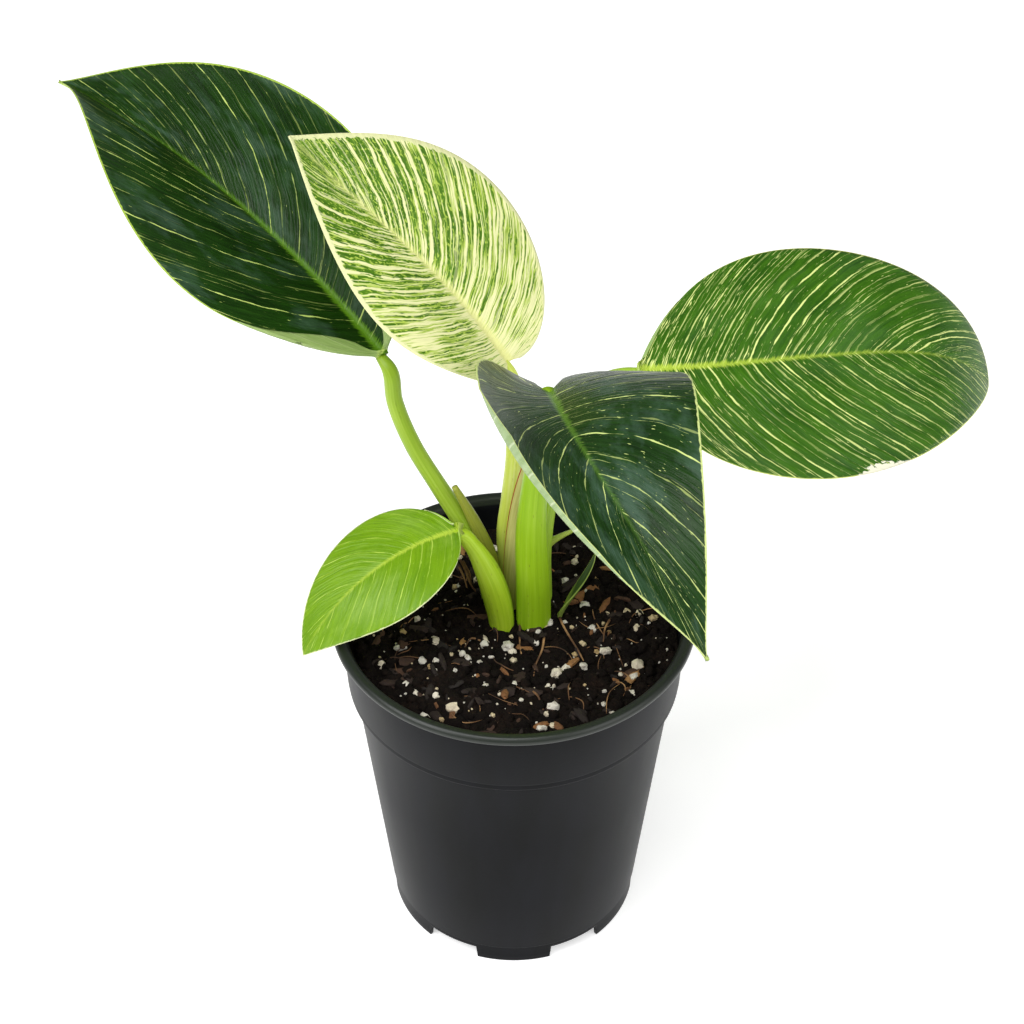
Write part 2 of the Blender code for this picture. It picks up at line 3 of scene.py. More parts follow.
import bpy
import numpy as np
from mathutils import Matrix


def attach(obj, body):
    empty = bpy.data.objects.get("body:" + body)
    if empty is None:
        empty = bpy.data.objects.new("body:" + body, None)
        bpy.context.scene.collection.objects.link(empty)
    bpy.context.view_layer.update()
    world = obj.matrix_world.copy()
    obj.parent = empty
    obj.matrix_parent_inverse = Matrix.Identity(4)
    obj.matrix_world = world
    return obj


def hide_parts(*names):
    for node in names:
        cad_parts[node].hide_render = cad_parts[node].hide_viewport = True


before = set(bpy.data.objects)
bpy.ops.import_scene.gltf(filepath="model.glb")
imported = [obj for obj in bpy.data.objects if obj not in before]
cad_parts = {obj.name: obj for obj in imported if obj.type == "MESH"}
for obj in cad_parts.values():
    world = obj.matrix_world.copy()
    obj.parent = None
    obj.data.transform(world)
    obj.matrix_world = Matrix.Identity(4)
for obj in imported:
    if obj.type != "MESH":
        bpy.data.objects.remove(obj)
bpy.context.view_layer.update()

mm = 0.001
uvMm = 100.0   # millimetres in one unit of a piece's UV map
scene = bpy.context.scene


# small tools for materials and meshes

def linearColour(hexText):
    # sRGB hex to the linear values that shaders use
    values = [int(hexText[i:i + 2], 16) / 255 for i in (1, 3, 5)]
    return [v / 12.92 if v <= 0.04045 else ((v + 0.055) / 1.055) ** 2.4 for v in values] + [1.0]


def addNode(tree, kind, inputs=(), out=0, stops=(), **settings):
    # One node with its settings. Inputs are links, numbers or hex colours, in socket order or by socket.
    # Stops are the places of a ramp with their hex colours or greys, and out=None gives back all the outputs.
    node = tree.nodes.new("ShaderNode" + kind)
    for name, value in settings.items():
        setattr(node, name, value)
    if stops:
        elements = node.color_ramp.elements
        while len(elements) < len(stops):
            elements.new(0.5)
        for element, (place, value) in zip(elements, stops):
            element.position = place
            element.color = linearColour(value) if isinstance(value, str) else [value, value, value, 1.0]
    for key, value in inputs.items() if isinstance(inputs, dict) else enumerate(inputs):
        if isinstance(value, bpy.types.NodeSocket):
            tree.links.new(value, node.inputs[key])
        else:
            node.inputs[key].default_value = linearColour(value) if isinstance(value, str) else value
    return node.outputs if out is None else node.outputs[out]


def newMaterial(name, roughness, ior, gloss=0.5):
    # gloss is the strength of the mirror light, 0.5 for what the IOR gives
    material = bpy.data.materials.new(name)
    material.use_nodes = True
    shader = material.node_tree.nodes["Principled BSDF"]
    shader.inputs["Roughness"].default_value = roughness
    shader.inputs["IOR"].default_value = ior
    shader.inputs["Metallic"].default_value = 0.0
    shader.inputs["Specular IOR Level"].default_value = gloss
    return material, material.node_tree


def finishSurface(material, links, height=None, strength=0.0, depth=0.0):
    # links go into the shader's sockets by name, and the height becomes a relief, its depth in mm
    tree = material.node_tree
    shader = tree.nodes["Principled BSDF"]
    if height is not None:
        relief = addNode(tree, "Bump", {"Height": height, "Strength": strength, "Distance": depth * mm})
        links = {**links, "Normal": relief}
    for name, link in links.items():
        tree.links.new(link, shader.inputs[name])
    return material


def paintLayers(tree, colour, *layers):
    # each layer's colour goes over the ones before it as far as its mask says, from 0 to 1
    for mask, over in layers:
        colour = addNode(tree, "Mix", {0: mask, 6: colour, 7: over}, out=2, data_type="RGBA")
    return colour


def stepUp(tree, value, edge, softness):
    # 0 below the edge, 1 above it, with a soft rise
    over = addNode(tree, "Math", (value, edge), operation="SUBTRACT")
    return addNode(tree, "Math", (over, 1 / softness, 0.5), operation="MULTIPLY_ADD", use_clamp=True)


def within(tree, gap, reach, softness):
    # 1 where the gap is shorter than the reach, falling to 0 where they are equal
    spare = addNode(tree, "Math", (reach, gap), operation="SUBTRACT")
    return addNode(tree, "Math", (spare, softness), operation="DIVIDE", use_clamp=True)


def streaks(tree, across, along, seed, wide, long, detail, rough=0.5):
    # noise drawn out along the veins, with wide and long as the size of one streak in mm
    x = addNode(tree, "Math", (across, wide), operation="DIVIDE")
    y = addNode(tree, "Math", (along, long), operation="DIVIDE")
    place = addNode(tree, "CombineXYZ", (x, y, seed))
    return addNode(tree, "TexNoise", {"Vector": place, "Scale": 1.0, "Detail": detail, "Roughness": rough})


def gridFaces(rows, columns):
    # triangles of a grid of points numbered row by row
    i = np.arange(rows - 1)[:, None] * columns + np.arange(columns - 1)[None, :]
    i = i.ravel()
    return np.concatenate([
        np.stack([i, i + columns, i + columns + 1], 1),
        np.stack([i, i + columns + 1, i + 1], 1),
    ])


def weld(points, faces):
    # coincident points become one, and faces that collapse are dropped
    keys = np.round(points / 1e-6).astype(np.int64)
    _, first, index = np.unique(keys, axis=0, return_index=True, return_inverse=True)
    index = index.reshape(-1)
    joined = index[faces]
    whole = (joined[:, 0] != joined[:, 1]) & (joined[:, 1] != joined[:, 2]) & (joined[:, 0] != joined[:, 2])
    return points[first], joined[whole], whole, first, index


def volumeOf(points, faces):
    # the sum of the tetrahedra from the origin to each face, above zero where the faces point outwards
    a, b, c = points[faces[:, 0]], points[faces[:, 1]], points[faces[:, 2]]
    return np.einsum("ij,ij->i", a, np.cross(b, c)).sum() / 6


def pointNormals(points, faces):
    # the sum of the face normals round each point, made unit length
    a, b, c = points[faces[:, 0]], points[faces[:, 1]], points[faces[:, 2]]
    flat = np.cross(b - a, c - a)
    total = np.zeros_like(points)
    for k in range(3):
        np.add.at(total, faces[:, k], flat)
    return total / np.maximum(np.linalg.norm(total, axis=1), 1e-20)[:, None]


def makePiece(name, points, faces, uv, materials, replaced,
              faceMaterial=None, values=None, smooth=True):
    # points in metres, triangles, one uv pair for each point before welding, and named point values
    joined, joinedFaces, whole, first, _ = weld(points, faces)
    cornerUv = uv[faces][whole]
    if volumeOf(joined, joinedFaces) < 0:
        joinedFaces = joinedFaces[:, ::-1]
        cornerUv = cornerUv[:, ::-1]
    mesh = bpy.data.meshes.new(name)
    count = len(joinedFaces)
    mesh.vertices.add(len(joined))
    mesh.vertices.foreach_set("co", joined.astype(np.float32).ravel())
    mesh.loops.add(count * 3)
    mesh.loops.foreach_set("vertex_index", joinedFaces.astype(np.int32).ravel())
    mesh.polygons.add(count)
    mesh.polygons.foreach_set("loop_start", np.arange(0, count * 3, 3, dtype=np.int32))
    mesh.polygons.foreach_set("loop_total", np.full(count, 3, dtype=np.int32))
    mesh.polygons.foreach_set("use_smooth", np.full(count, smooth))
    for material in materials:
        mesh.materials.append(material)
    if faceMaterial is not None:
        mesh.polygons.foreach_set("material_index", faceMaterial[whole].astype(np.int32))
    layer = mesh.uv_layers.new(name="UVMap")
    layer.data.foreach_set("uv", cornerUv.astype(np.float32).ravel())
    for key, value in (values or {}).items():
        attribute = mesh.attributes.new(key, "FLOAT", "POINT")
        attribute.data.foreach_set("value", value[first].astype(np.float32))
    mesh.update()
    mesh.validate()
    piece = bpy.data.objects.new(name, mesh)
    scene.collection.objects.link(piece)
    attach(piece, "root")
    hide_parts(*replaced)
    return piece


def latticeNoise(x, y, cell, seed):
    # value noise: random heights at the corners of square cells, blended with a quintic ease
    draw = np.random.default_rng(seed)
    table = draw.random((64, 64))
    gx, gy = x / cell, y / cell
    ix, iy = np.floor(gx).astype(int), np.floor(gy).astype(int)
    fx, fy = gx - ix, gy - iy
    ex, ey = (f ** 3 * (f * (f * 6 - 15) + 10) for f in (fx, fy))
    a, b = table[ix % 64, iy % 64], table[(ix + 1) % 64, iy % 64]
    c, d = table[ix % 64, (iy + 1) % 64], table[(ix + 1) % 64, (iy + 1) % 64]
    return (a * (1 - ex) + b * ex) * (1 - ey) + (c * (1 - ex) + d * ex) * ey


def smoothPath(knots, count):
    # points and radii, evenly spaced, on a cubic curve through the knots; the slope at a knot is the mean of
    # the slopes on its two sides, each weighted by the length of the other side
    rows = np.array([[*point, radius] for point, radius in knots], float)
    steps = np.diff(rows, axis=0)
    spans = np.linalg.norm(steps[:, :3], axis=1)
    slopes = steps / spans[:, None]
    inner = slopes[:-1] * spans[1:, None] + slopes[1:] * spans[:-1, None]
    inner /= (spans[:-1] + spans[1:])[:, None]
    tangents = np.vstack([slopes[0], inner, slopes[-1]])
    lengths = np.concatenate([[0], np.cumsum(spans)])
    at = np.linspace(0, lengths[-1], count)
    i = np.clip(np.searchsorted(lengths, at, "right") - 1, 0, len(spans) - 1)
    span = spans[i][:, None]
    t = (at - lengths[i])[:, None] / span
    curve = ((2 * t ** 3 - 3 * t ** 2 + 1) * rows[i] + (t ** 3 - 2 * t ** 2 + t) * span * tangents[i]
             + (3 * t ** 2 - 2 * t ** 3) * rows[i + 1] + (t ** 3 - t ** 2) * span * tangents[i + 1])
    return curve[:, :3], curve[:, 3], lengths[-1]


def tubeFrames(path, upHint):
    # two directions across the path: one kept near the hint, and one square to it
    tangent = np.gradient(path, axis=0)
    tangent /= np.linalg.norm(tangent, axis=1)[:, None]
    hint = np.broadcast_to(np.array(upHint, float), tangent.shape)
    first = hint - (hint * tangent).sum(1)[:, None] * tangent
    first /= np.linalg.norm(first, axis=1)[:, None]
    return first, np.cross(tangent, first)


def tubePoints(knots, rings, sides, shape=None, upHint=(0.0, -1.0, 0.0)):
    # a round or shaped tube with closed poles: each ring is the path's point plus a radius turned about it
    path, radius, length = smoothPath(knots, rings)
    first, second = tubeFrames(path, upHint)
    angle = np.linspace(0, 2 * np.pi, sides + 1)
    angle[-1] = 0.0
    along = np.linspace(0, 1, rings)
    swell = np.ones((rings, sides + 1)) if shape is None else shape(along[:, None], angle[None, :])
    out = radius[:, None] * swell
    cosine, sine = np.cos(angle)[None, :, None], np.sin(angle)[None, :, None]
    body = path[:, None, :] + out[..., None] * (cosine * first[:, None, :] + sine * second[:, None, :])
    start = np.broadcast_to(path[0], (1, sides + 1, 3))
    end = np.broadcast_to(path[-1], (1, sides + 1, 3))
    points = np.concatenate([start, body, end]) * mm
    u = np.linspace(0, 1, sides + 1)
    v = np.concatenate([[0], along * length / uvMm, [length / uvMm]])
    uv = np.stack(np.broadcast_arrays(u[None, :], v[:, None]), -1).reshape(-1, 2)
    return points.reshape(-1, 3), gridFaces(rings + 2, sides + 1), uv


def joinShapes(shapes):
    # several (points, faces, uv) shapes as one
    points, faces, uv, shift = [], [], [], 0
    for p, f, w in shapes:
        points.append(p)
        faces.append(f + shift)
        uv.append(w)
        shift += len(p)
    return np.concatenate(points), np.concatenate(faces), np.concatenate(uv)


# pot

pot = {
    "lipRadius": 54.0, "height": 115.6,
    "footRadius": 39.0, "footLine": 7.0, "wallTop": 47.9,
    "bandBottom": 90.6, "bandBottomRadius": 49.8, "bandTopRadius": 50.6, "bandTop": 112.4,
    "wall": 1.2, "floor": 1.6, "floorRadius": 30.0, "channelTop": 6.8,
    "feet": 6, "notchDegrees": 26.0, "notchHeight": 5.0, "notchSlope": 0.7,
    "steps": 216, "roundSteps": 5,
    "colour": "#0e0f10", "sheen": "#15161a", "dust": "#26272a", "gloss": 0.05, "roughness": 0.38,
    # the lip colour below is a painted green reflection of the leaves above it
    "lipPaintedReflection": "#1c221b", "lipGloss": 0.45, "lipStart": 113.4,
}


def potWall(z):
    # outer radius of the tapered wall between the feet and the band
    share = (z - pot["footLine"]) / (pot["bandBottom"] - pot["footLine"])
    return pot["footRadius"] + 0.3 + share * (pot["wallTop"] - pot["footRadius"] - 0.3)


def potInside(z):
    # inner radius at a height, which follows the outer wall and the band
    if z < pot["bandBottom"]:
        return potWall(z) - pot["wall"]
    share = (z - pot["bandBottom"]) / (pot["bandTop"] - pot["bandBottom"])
    return pot["bandBottomRadius"] + share * (pot["bandTopRadius"] - pot["bandBottomRadius"]) - pot["wall"]


def roundedProfile(corners, steps):
    # corners of a section with a rounding each: a corner becomes an arc between its two sides
    spots = np.array([c[:2] for c in corners], float)
    out = [spots[0]]
    for k in range(1, len(spots) - 1):
        before, here, after, size = spots[k - 1], spots[k], spots[k + 1], corners[k][2]
        a, b = before - here, after - here
        la, lb = np.linalg.norm(a), np.linalg.norm(b)
        reach = min(size, 0.45 * la, 0.45 * lb)
        if reach < 0.02:
            out.append(here)
            continue
        p, q = here + a / la * reach, here + b / lb * reach
        t = np.linspace(0, 1, steps)[:, None]
        out.extend((1 - t) ** 2 * p + 2 * t * (1 - t) * here + t ** 2 * q)
    out.append(spots[-1])
    return np.array(out)


def potSection():
    # radius, height and rounding of each corner: over the floor, up inside, over the lip, down outside to the
    # feet and back under the floor
    top, lip, floorTop, floorRadius = pot["height"], pot["lipRadius"], pot["floor"], pot["floorRadius"]
    band, bandRadius, bandTopRadius = pot["bandBottom"], pot["bandBottomRadius"], pot["bandTopRadius"]
    foot, footLine, channel = pot["footRadius"], pot["footLine"], pot["channelTop"]
    footInside = foot - 0.3 - pot["wall"]
    inside = [
        (0, floorTop, 0), (floorRadius - 1.6, floorTop, 0.8), (floorRadius + 1.0, channel, 0.8),
        (potInside(channel), channel, 0.8), (potInside(40), 40, 0), (potInside(band - 0.1), band - 0.1, 0.6),
        (potInside(band + 1.2), band + 1.2, 0.6), (potInside(pot["bandTop"]), pot["bandTop"], 0.8),
    ]
    rolledLip = [
        (bandTopRadius + 0.1, top - 0.5, 1.2), (bandTopRadius + 1.4, top, 0.7), (lip - 1.0, top, 0.8),
        (lip, top - 1.0, 0.8), (lip - 0.1, top - 2.4, 0.8), (bandTopRadius + 0.3, top - 3.0, 0.5),
    ]
    outside = [
        (bandRadius + 0.25, band + 2.6, 0), (bandRadius + 0.1, band + 2.2, 0.2), (bandRadius, band, 0.6),
        (pot["wallTop"], band - 0.3, 0.3), (potWall(60), 60, 0), (potWall(30), 30, 0),
    ]
    feet = [
        (foot + 0.3, footLine, 0.15), (foot, footLine - 0.3, 0.15), (foot - 0.05, 5.6, 0),
        (foot - 0.1, 5.0, 0), (foot - 0.2, 2.5, 0), (foot - 0.3, 0, 0.35), (footInside, 0, 0.35),
        (footInside, 2.5, 0), (footInside + 0.1, channel - floorTop, 0.3),
        (floorRadius + 2.6, channel - floorTop, 0.4), (floorRadius, 0, 0.5), (0, 0, 0),
    ]
    return roundedProfile(inside + rolledLip + outside + feet, pot["roundSteps"])


def makePot(material):
    # the section turned about Z; below the notch line each point is lifted to the notch roof between the feet
    section = potSection()
    r, z = section[:, 0], section[:, 1]
    pitch, half, slope = 360 / pot["feet"], pot["notchDegrees"] / 2, pot["notchSlope"]
    edges = [side * (half + d) for side in (-1, 1) for d in (-slope, -slope / 2, 0, 0.15)]
    centres = -90 + pitch * (np.arange(pot["feet"]) + 0.5)
    extra = (centres[:, None] + np.array(edges)[None, :]).ravel() % 360
    degrees = np.unique(np.round(np.concatenate([np.arange(0, 360, 360 / pot["steps"]), extra]), 4))
    degrees = np.concatenate([degrees, [degrees[0] + 360]])
    off = np.abs((degrees[:, None] - centres[None, :] + 180) % 360 - 180).min(1)
    roof = pot["notchHeight"] * np.clip((half - off) / slope, 0, 1)
    angle = np.radians(degrees)
    angle[-1] = angle[0]
    inFeet = (r > pot["floorRadius"] + 4.5)[None, :]
    height = np.where(inFeet, np.maximum(z[None, :], roof[:, None]), z[None, :])
    points = np.stack([np.cos(angle)[:, None] * r, np.sin(angle)[:, None] * r, height], -1) * mm
    reach = np.concatenate([[0], np.cumsum(np.linalg.norm(np.diff(section, axis=0), axis=1))])
    uv = np.stack(np.broadcast_arrays((degrees / 360)[:, None], (reach / uvMm)[None, :]), -1)
    makePiece("nursery_pot_shell", points.reshape(-1, 3), gridFaces(len(angle), len(section)),
              uv.reshape(-1, 2), [material], ["nursery_pot"])


def mouldedPolypropylene():
    # black polypropylene, injection moulded: an even satin skin with faint flow marks that carry a painted
    # sheen, and a little dust
    material, tree = newMaterial("moulded_polypropylene", pot["roughness"], 1.49)
    place = addNode(tree, "TexCoord", out="Object")
    drawnDown = addNode(tree, "Mapping", {"Vector": place, "Scale": (1.0, 1.0, 0.25)})
    flow = addNode(tree, "TexNoise", {"Vector": drawnDown, "Scale": 1 / (11.1 * mm), "Detail": 3.0})
    dust = addNode(tree, "TexNoise", {"Vector": place, "Scale": 1 / (1.11 * mm), "Roughness": 0.6})
    grain = addNode(tree, "TexNoise", {"Vector": place, "Scale": 1 / (0.625 * mm)})   # spark-eroded mould
    # a painted sheen: a lighter colour laid along the flow streaks
    flowMarkSheen = addNode(tree, "ValToRGB", (flow,), stops=((0.35, 0.0), (0.75, 1.0)))
    specks = addNode(tree, "ValToRGB", (dust,), stops=((0.68, 0.0), (0.8, 0.35)))
    # the lip is polished by handling, and a painted green reflection of the leaves above it is laid into its
    # colour
    height = addNode(tree, "SeparateXYZ", (place,), out="Z")
    onLip = stepUp(tree, height, pot["lipStart"] * mm, 0.6 * mm)
    colour = paintLayers(tree, pot["colour"], (flowMarkSheen, pot["sheen"]), (specks, pot["dust"]),
                         (onLip, pot["lipPaintedReflection"]))
    gloss = addNode(tree, "Math", (onLip, pot["lipGloss"] - pot["gloss"], pot["gloss"]),
                    operation="MULTIPLY_ADD")
    rough = addNode(tree, "Math", (flow, 0.12, pot["roughness"] - 0.06), operation="MULTIPLY_ADD")
    links = {"Base Color": colour, "Specular IOR Level": gloss, "Roughness": rough}
    return finishSurface(material, links, grain, 0.08, 0.2)


print("pot")
makePot(mouldedPolypropylene())


# soil with its perlite, bark and fibres

soil = {
    "top": 105.2, "rings": 132, "sectors": 540, "relief": 1.5, "crumbSizes": (4.2, 2.2, 1.1),
    "peat": ("#080504", "#100a07", "#1d130d", "#35251a"),
    # loose grains: how many, how far they keep from the wall, and how deep they sink in
    "crumbs": (1500, 2.5, 0.3), "perlite": (300, 2.5, -0.1), "bark": (190, 4.5, -0.1),
    "fibres": (40, 9.0, 0.0),
    # sizes: the smallest, how much more the largest has, and a power that makes large ones rare
    "crumbGrade": (0.9, 3.2, 2.6), "perliteGrade": (0.5, 3.2, 3.2), "barkGrade": (2.0, 6.0, 2.0),
    # fibres: least and greatest length, rise of the middle and radius, and a root's radius from its thick end
    "fibreLength": (5, 15), "fibreLift": (0.3, 1.6), "fibreRadius": (0.1, 0.24), "rootRadius": (0.42, 0.2),
    "stemCentre": (0.8, 9.0), "stemRadius": 10.5,
    "bankHeight": 1.9, "bankWidth": 2.6,   # the peat is drawn up a little round each stalk
    # placed one by one: x, y and size of large perlite, and x, y, z along roots and a dried leaf base
    "largePerlite": ((-17.7, -31.0, 4.6), (27.0, -7.5, 4.2), (-33.5, -6.5, 3.8), (8.0, -39.5, 3.4),
                     (20.5, -14.0, 3.3)),
    "roots": (
        ((1.8, 1.4, 0.6), (1.8, -3.5, 0.5), (2.2, -8.5, 0.3)),
        ((13.4, 6.2, 0.5), (15.4, 0.5, 0.7), (19.0, -7.0, 0.6), (21.5, -13.5, 0.3)),
        ((9.0, -2.2, 0.4), (8.4, -7.0, 0.8), (6.4, -12.0, 0.5), (5.8, -17.0, 0.3)),
        ((29.0, 6.5, 0.4), (27.2, 1.5, 1.0), (26.5, -4.0, 0.3)),
        ((-8.5, -4.0, 0.3), (-12.5, -3.0, 1.1), (-14.5, -6.5, 0.4)),
        ((4.5, -22.0, 0.5), (7.0, -26.5, 1.1), (8.5, -31.0, 0.5)),
        ((-16.2, 21.0, 10.5), (-14.6, 19.4, 6.4), (-12.8, 17.6, 2.4), (-11.2, 16.2, 0.2)),
        ((-15.4, 21.2, 9.4), (-13.4, 19.8, 5.4), (-12.4, 18.4, 1.4), (-10.6, 17.4, 0.2)),
        ((-16.6, 20.4, 8.0), (-15.2, 18.6, 4.6), (-13.8, 16.6, 0.3)),
    ),
}
# where each stalk meets the soil: x, y and radius
stalkFeet = ((-6.2, 13.0, 3.4), (0.0, 17.2, 3.0), (8.6, 15.0, 3.0), (5.9, 4.4, 5.2), (-3.6, 3.2, 3.8))


def crumbHeight(x, y, size, seed):
    # round crumbs: in each square cell one dome at a drawn place and width, and the highest dome wins
    draw = np.random.default_rng(seed)
    table = draw.random((4, 64, 64))
    gx, gy = x / size, y / size
    ix, iy = np.floor(gx).astype(int), np.floor(gy).astype(int)
    best = np.zeros_like(x)
    for dx in (-1, 0, 1):
        for dy in (-1, 0, 1):
            cx, cy = ix + dx, iy + dy
            px, py, wide, tall = (table[k][cx % 64, cy % 64] for k in range(4))
            reach = 0.35 + 0.45 * wide
            gap = np.hypot(gx - cx - px, gy - cy - py) / reach
            best = np.maximum(best, np.sqrt(np.maximum(0, 1 - gap ** 2)) * reach * (0.4 + 0.6 * tall))
    return best * size


def soilHeight(x, y):
    # height of the crumbly surface in millimetres: slow swells, then crumbs of three sizes, flatter at the
    # wall, and a bell curve of the distance from the nearest stalk
    rim = potInside(soil["top"]) - 0.3
    slow = (latticeNoise(x, y, 16, 11) - 0.5) * 2 + (latticeNoise(x, y, 7, 12) - 0.5)
    crumbs = sum(crumbHeight(x + 7 * k, y - 5 * k, size, 20 + k) * w
                 for k, (size, w) in enumerate(zip(soil["crumbSizes"], (0.42, 0.55, 0.6))))
    near = np.clip((rim - np.hypot(x, y)) / 4, 0, 1)
    gaps = [np.maximum(np.hypot(x - a, y - b) - r, 0) for a, b, r in stalkFeet]
    bank = soil["bankHeight"] * np.exp(-(np.minimum.reduce(gaps) / soil["bankWidth"]) ** 2)
    return soil["top"] - 1.3 + (soil["relief"] * 0.6 * slow + crumbs) * (0.35 + 0.65 * near) + bank


def makeSoil(material):
    # the top in rings and sectors, its height from the formula, with a plain side and bottom inside the pot
    angle = np.linspace(0, 2 * np.pi, soil["sectors"] + 1)
    angle[-1] = 0.0
    rings = np.linspace(0, potInside(soil["top"]) - 0.35, soil["rings"])
    x, y = rings[:, None] * np.cos(angle), rings[:, None] * np.sin(angle)
    z = soilHeight(x, y)
    # radius and height down the side, 0.4 mm inside the wall, and over the pot's raised channel and its floor
    side = [(potInside(92) - 0.4, 92.1), (potInside(90.4) - 0.4, 90.8), (potInside(6.8) - 0.4, 7.1),
            (pot["floorRadius"] + 0.8, 7.1), (pot["floorRadius"] - 1.9, 1.9), (0, 1.9)]
    lower = np.array([[np.cos(angle) * r, np.sin(angle) * r, np.full(len(angle), h)] for r, h in side])
    points = np.concatenate([np.stack([x, y, z], -1), lower.transpose(0, 2, 1)])
    uv = (points[..., :2] / uvMm).reshape(-1, 2)
    makePiece("potting_soil_surface", points.reshape(-1, 3) * mm, gridFaces(len(points), len(angle)), uv,
              [material], ["potting_soil"])


def icoBall():
    # an icosahedron with each face split in four and pushed out to a sphere: 42 points, 80 faces
    g = (1 + 5 ** 0.5) / 2
    corners = np.array([(-1, g, 0), (1, g, 0), (-1, -g, 0), (1, -g, 0), (0, -1, g), (0, 1, g),
                        (0, -1, -g), (0, 1, -g), (g, 0, -1), (g, 0, 1), (-g, 0, -1), (-g, 0, 1)], float)
    corners /= np.linalg.norm(corners[0])
    gap = np.linalg.norm(corners[:, None] - corners[None], axis=-1)
    near = (gap > 0.1) & (gap < 1.1)
    faces = [(i, j, k) for i in range(12) for j in range(i + 1, 12) for k in range(j + 1, 12)
             if near[i, j] and near[j, k] and near[i, k]]
    points, split = list(corners), []
    middle = {}

    def between(a, b):
        key = (min(a, b), max(a, b))
        if key not in middle:
            spot = points[a] + points[b]
            middle[key] = len(points)
            points.append(spot / np.linalg.norm(spot))
        return middle[key]

    for a, b, c in faces:
        if np.dot(np.cross(points[b] - points[a], points[c] - points[a]), points[a]) < 0:
            b, c = c, b
        ab, bc, ca = between(a, b), between(b, c), between(c, a)
        split += [(a, ab, ca), (b, bc, ab), (c, ca, bc), (ab, bc, ca)]
    return np.array(points), np.array(split)


ballPoints, ballFaces = icoBall()


def scatterLumps(places, sizes, seed, rough, flatAngle, cubic=0.0):
    # copies of the ball: each corner pushed in or out by a draw, scaled, turned, and set on the soil
    draw = np.random.default_rng(seed)
    count = len(places)
    push = 1 + rough * (draw.random((count, len(ballPoints))) - 0.5)
    square = np.abs(ballPoints).max(1)
    push = push * ((1 - cubic) + cubic / square[None, :])
    form = ballPoints[None] * push[..., None] * sizes[:, None, :] / 2
    turn = draw.random(count) * 2 * np.pi
    tilt = (draw.random((count, 2)) - 0.5) * 2 * flatAngle
    cz, sz = np.cos(turn), np.sin(turn)
    cx, sx = np.cos(tilt[:, 0]), np.sin(tilt[:, 0])
    cy, sy = np.cos(tilt[:, 1]), np.sin(tilt[:, 1])
    x, y, z = form[..., 0], form[..., 1], form[..., 2]
    y, z = y * cx[:, None] - z * sx[:, None], y * sx[:, None] + z * cx[:, None]
    x, z = x * cy[:, None] + z * sy[:, None], -x * sy[:, None] + z * cy[:, None]
    x, y = x * cz[:, None] - y * sz[:, None], x * sz[:, None] + y * cz[:, None]
    points = (np.stack([x, y, z], -1) + places[:, None, :]) * mm
    faces = (ballFaces[None] + np.arange(count)[:, None, None] * len(ballPoints)).reshape(-1, 3)
    tone = np.repeat(draw.random(count), len(ballPoints))
    uv = np.tile(ballPoints[:, :2] * 0.5 + 0.5, (count, 1))
    return points.reshape(-1, 3), faces, uv, tone


def soilPlaces(spread, seed):
    # places spread over the soil by a draw, clear of the stems, at the height of the surface
    count, inset, sink = spread
    draw = np.random.default_rng(seed)
    rim = potInside(soil["top"]) - inset
    radius = rim * np.sqrt(draw.random(count * 2))
    angle = draw.random(count * 2) * 2 * np.pi
    x, y = radius * np.cos(angle), radius * np.sin(angle)
    clear = np.hypot(x - soil["stemCentre"][0], y - soil["stemCentre"][1]) > soil["stemRadius"]
    x, y = x[clear][:count], y[clear][:count]
    return np.stack([x, y, soilHeight(x, y) - sink], 1)


def graded(draw, count, grade):
    # sizes by a draw: the smallest, how much more the largest has, and a power that makes large ones rare
    smallest, more, power = grade
    return smallest + more * draw.random(count) ** power


def makeLumps(name, material, spots, sizes, form, smooth=False):
    # form: seed, how rough a lump is, how far it tilts and how square it is
    points, faces, uv, tone = scatterLumps(spots, sizes, *form)
    makePiece(name, points, faces, uv, [material], ["potting_soil"], values={"tone": tone},
              smooth=smooth)


def makeCrumbs(draw, material):
    # round lumps of peat, a little longer or shorter each way
    spots = soilPlaces(soil["crumbs"], 31)
    size = graded(draw, len(spots), soil["crumbGrade"])
    sizes = size[:, None] * (0.75 + 0.5 * draw.random((len(spots), 3)))
    makeLumps("peat_crumbs", material, spots, sizes, (41, 0.55, 0.8, 0.0), smooth=True)


def makePerlite(draw, material):
    # angular grains, drawn ones and the large ones at their places
    spots = soilPlaces(soil["perlite"], 32)
    size = graded(draw, len(spots), soil["perliteGrade"])
    sizes = size[:, None] * (0.75 + 0.4 * draw.random((len(spots), 3)))
    large = np.array(soil["largePerlite"])
    x, y = large[:, 0], large[:, 1]
    spots = np.vstack([spots, np.stack([x, y, soilHeight(x, y) + 0.5], 1)])
    sizes = np.vstack([sizes, large[:, 2:] * np.array([[1.0, 0.75, 0.6]])])
    makeLumps("perlite_grains", material, spots, sizes, (42, 0.45, 1.2, 0.0))


def makeBark(draw, material):
    # flat squarish chips: a drawn length, and a width that is a part of it
    spots = soilPlaces(soil["bark"], 33)
    count = len(spots)
    longest = graded(draw, count, soil["barkGrade"])
    width = longest * (0.25 + 0.3 * draw.random(count))
    sizes = np.stack([longest, width, 0.8 + 0.9 * draw.random(count)], 1)
    makeLumps("bark_chips", material, spots, sizes, (43, 0.35, 0.35, 0.7))


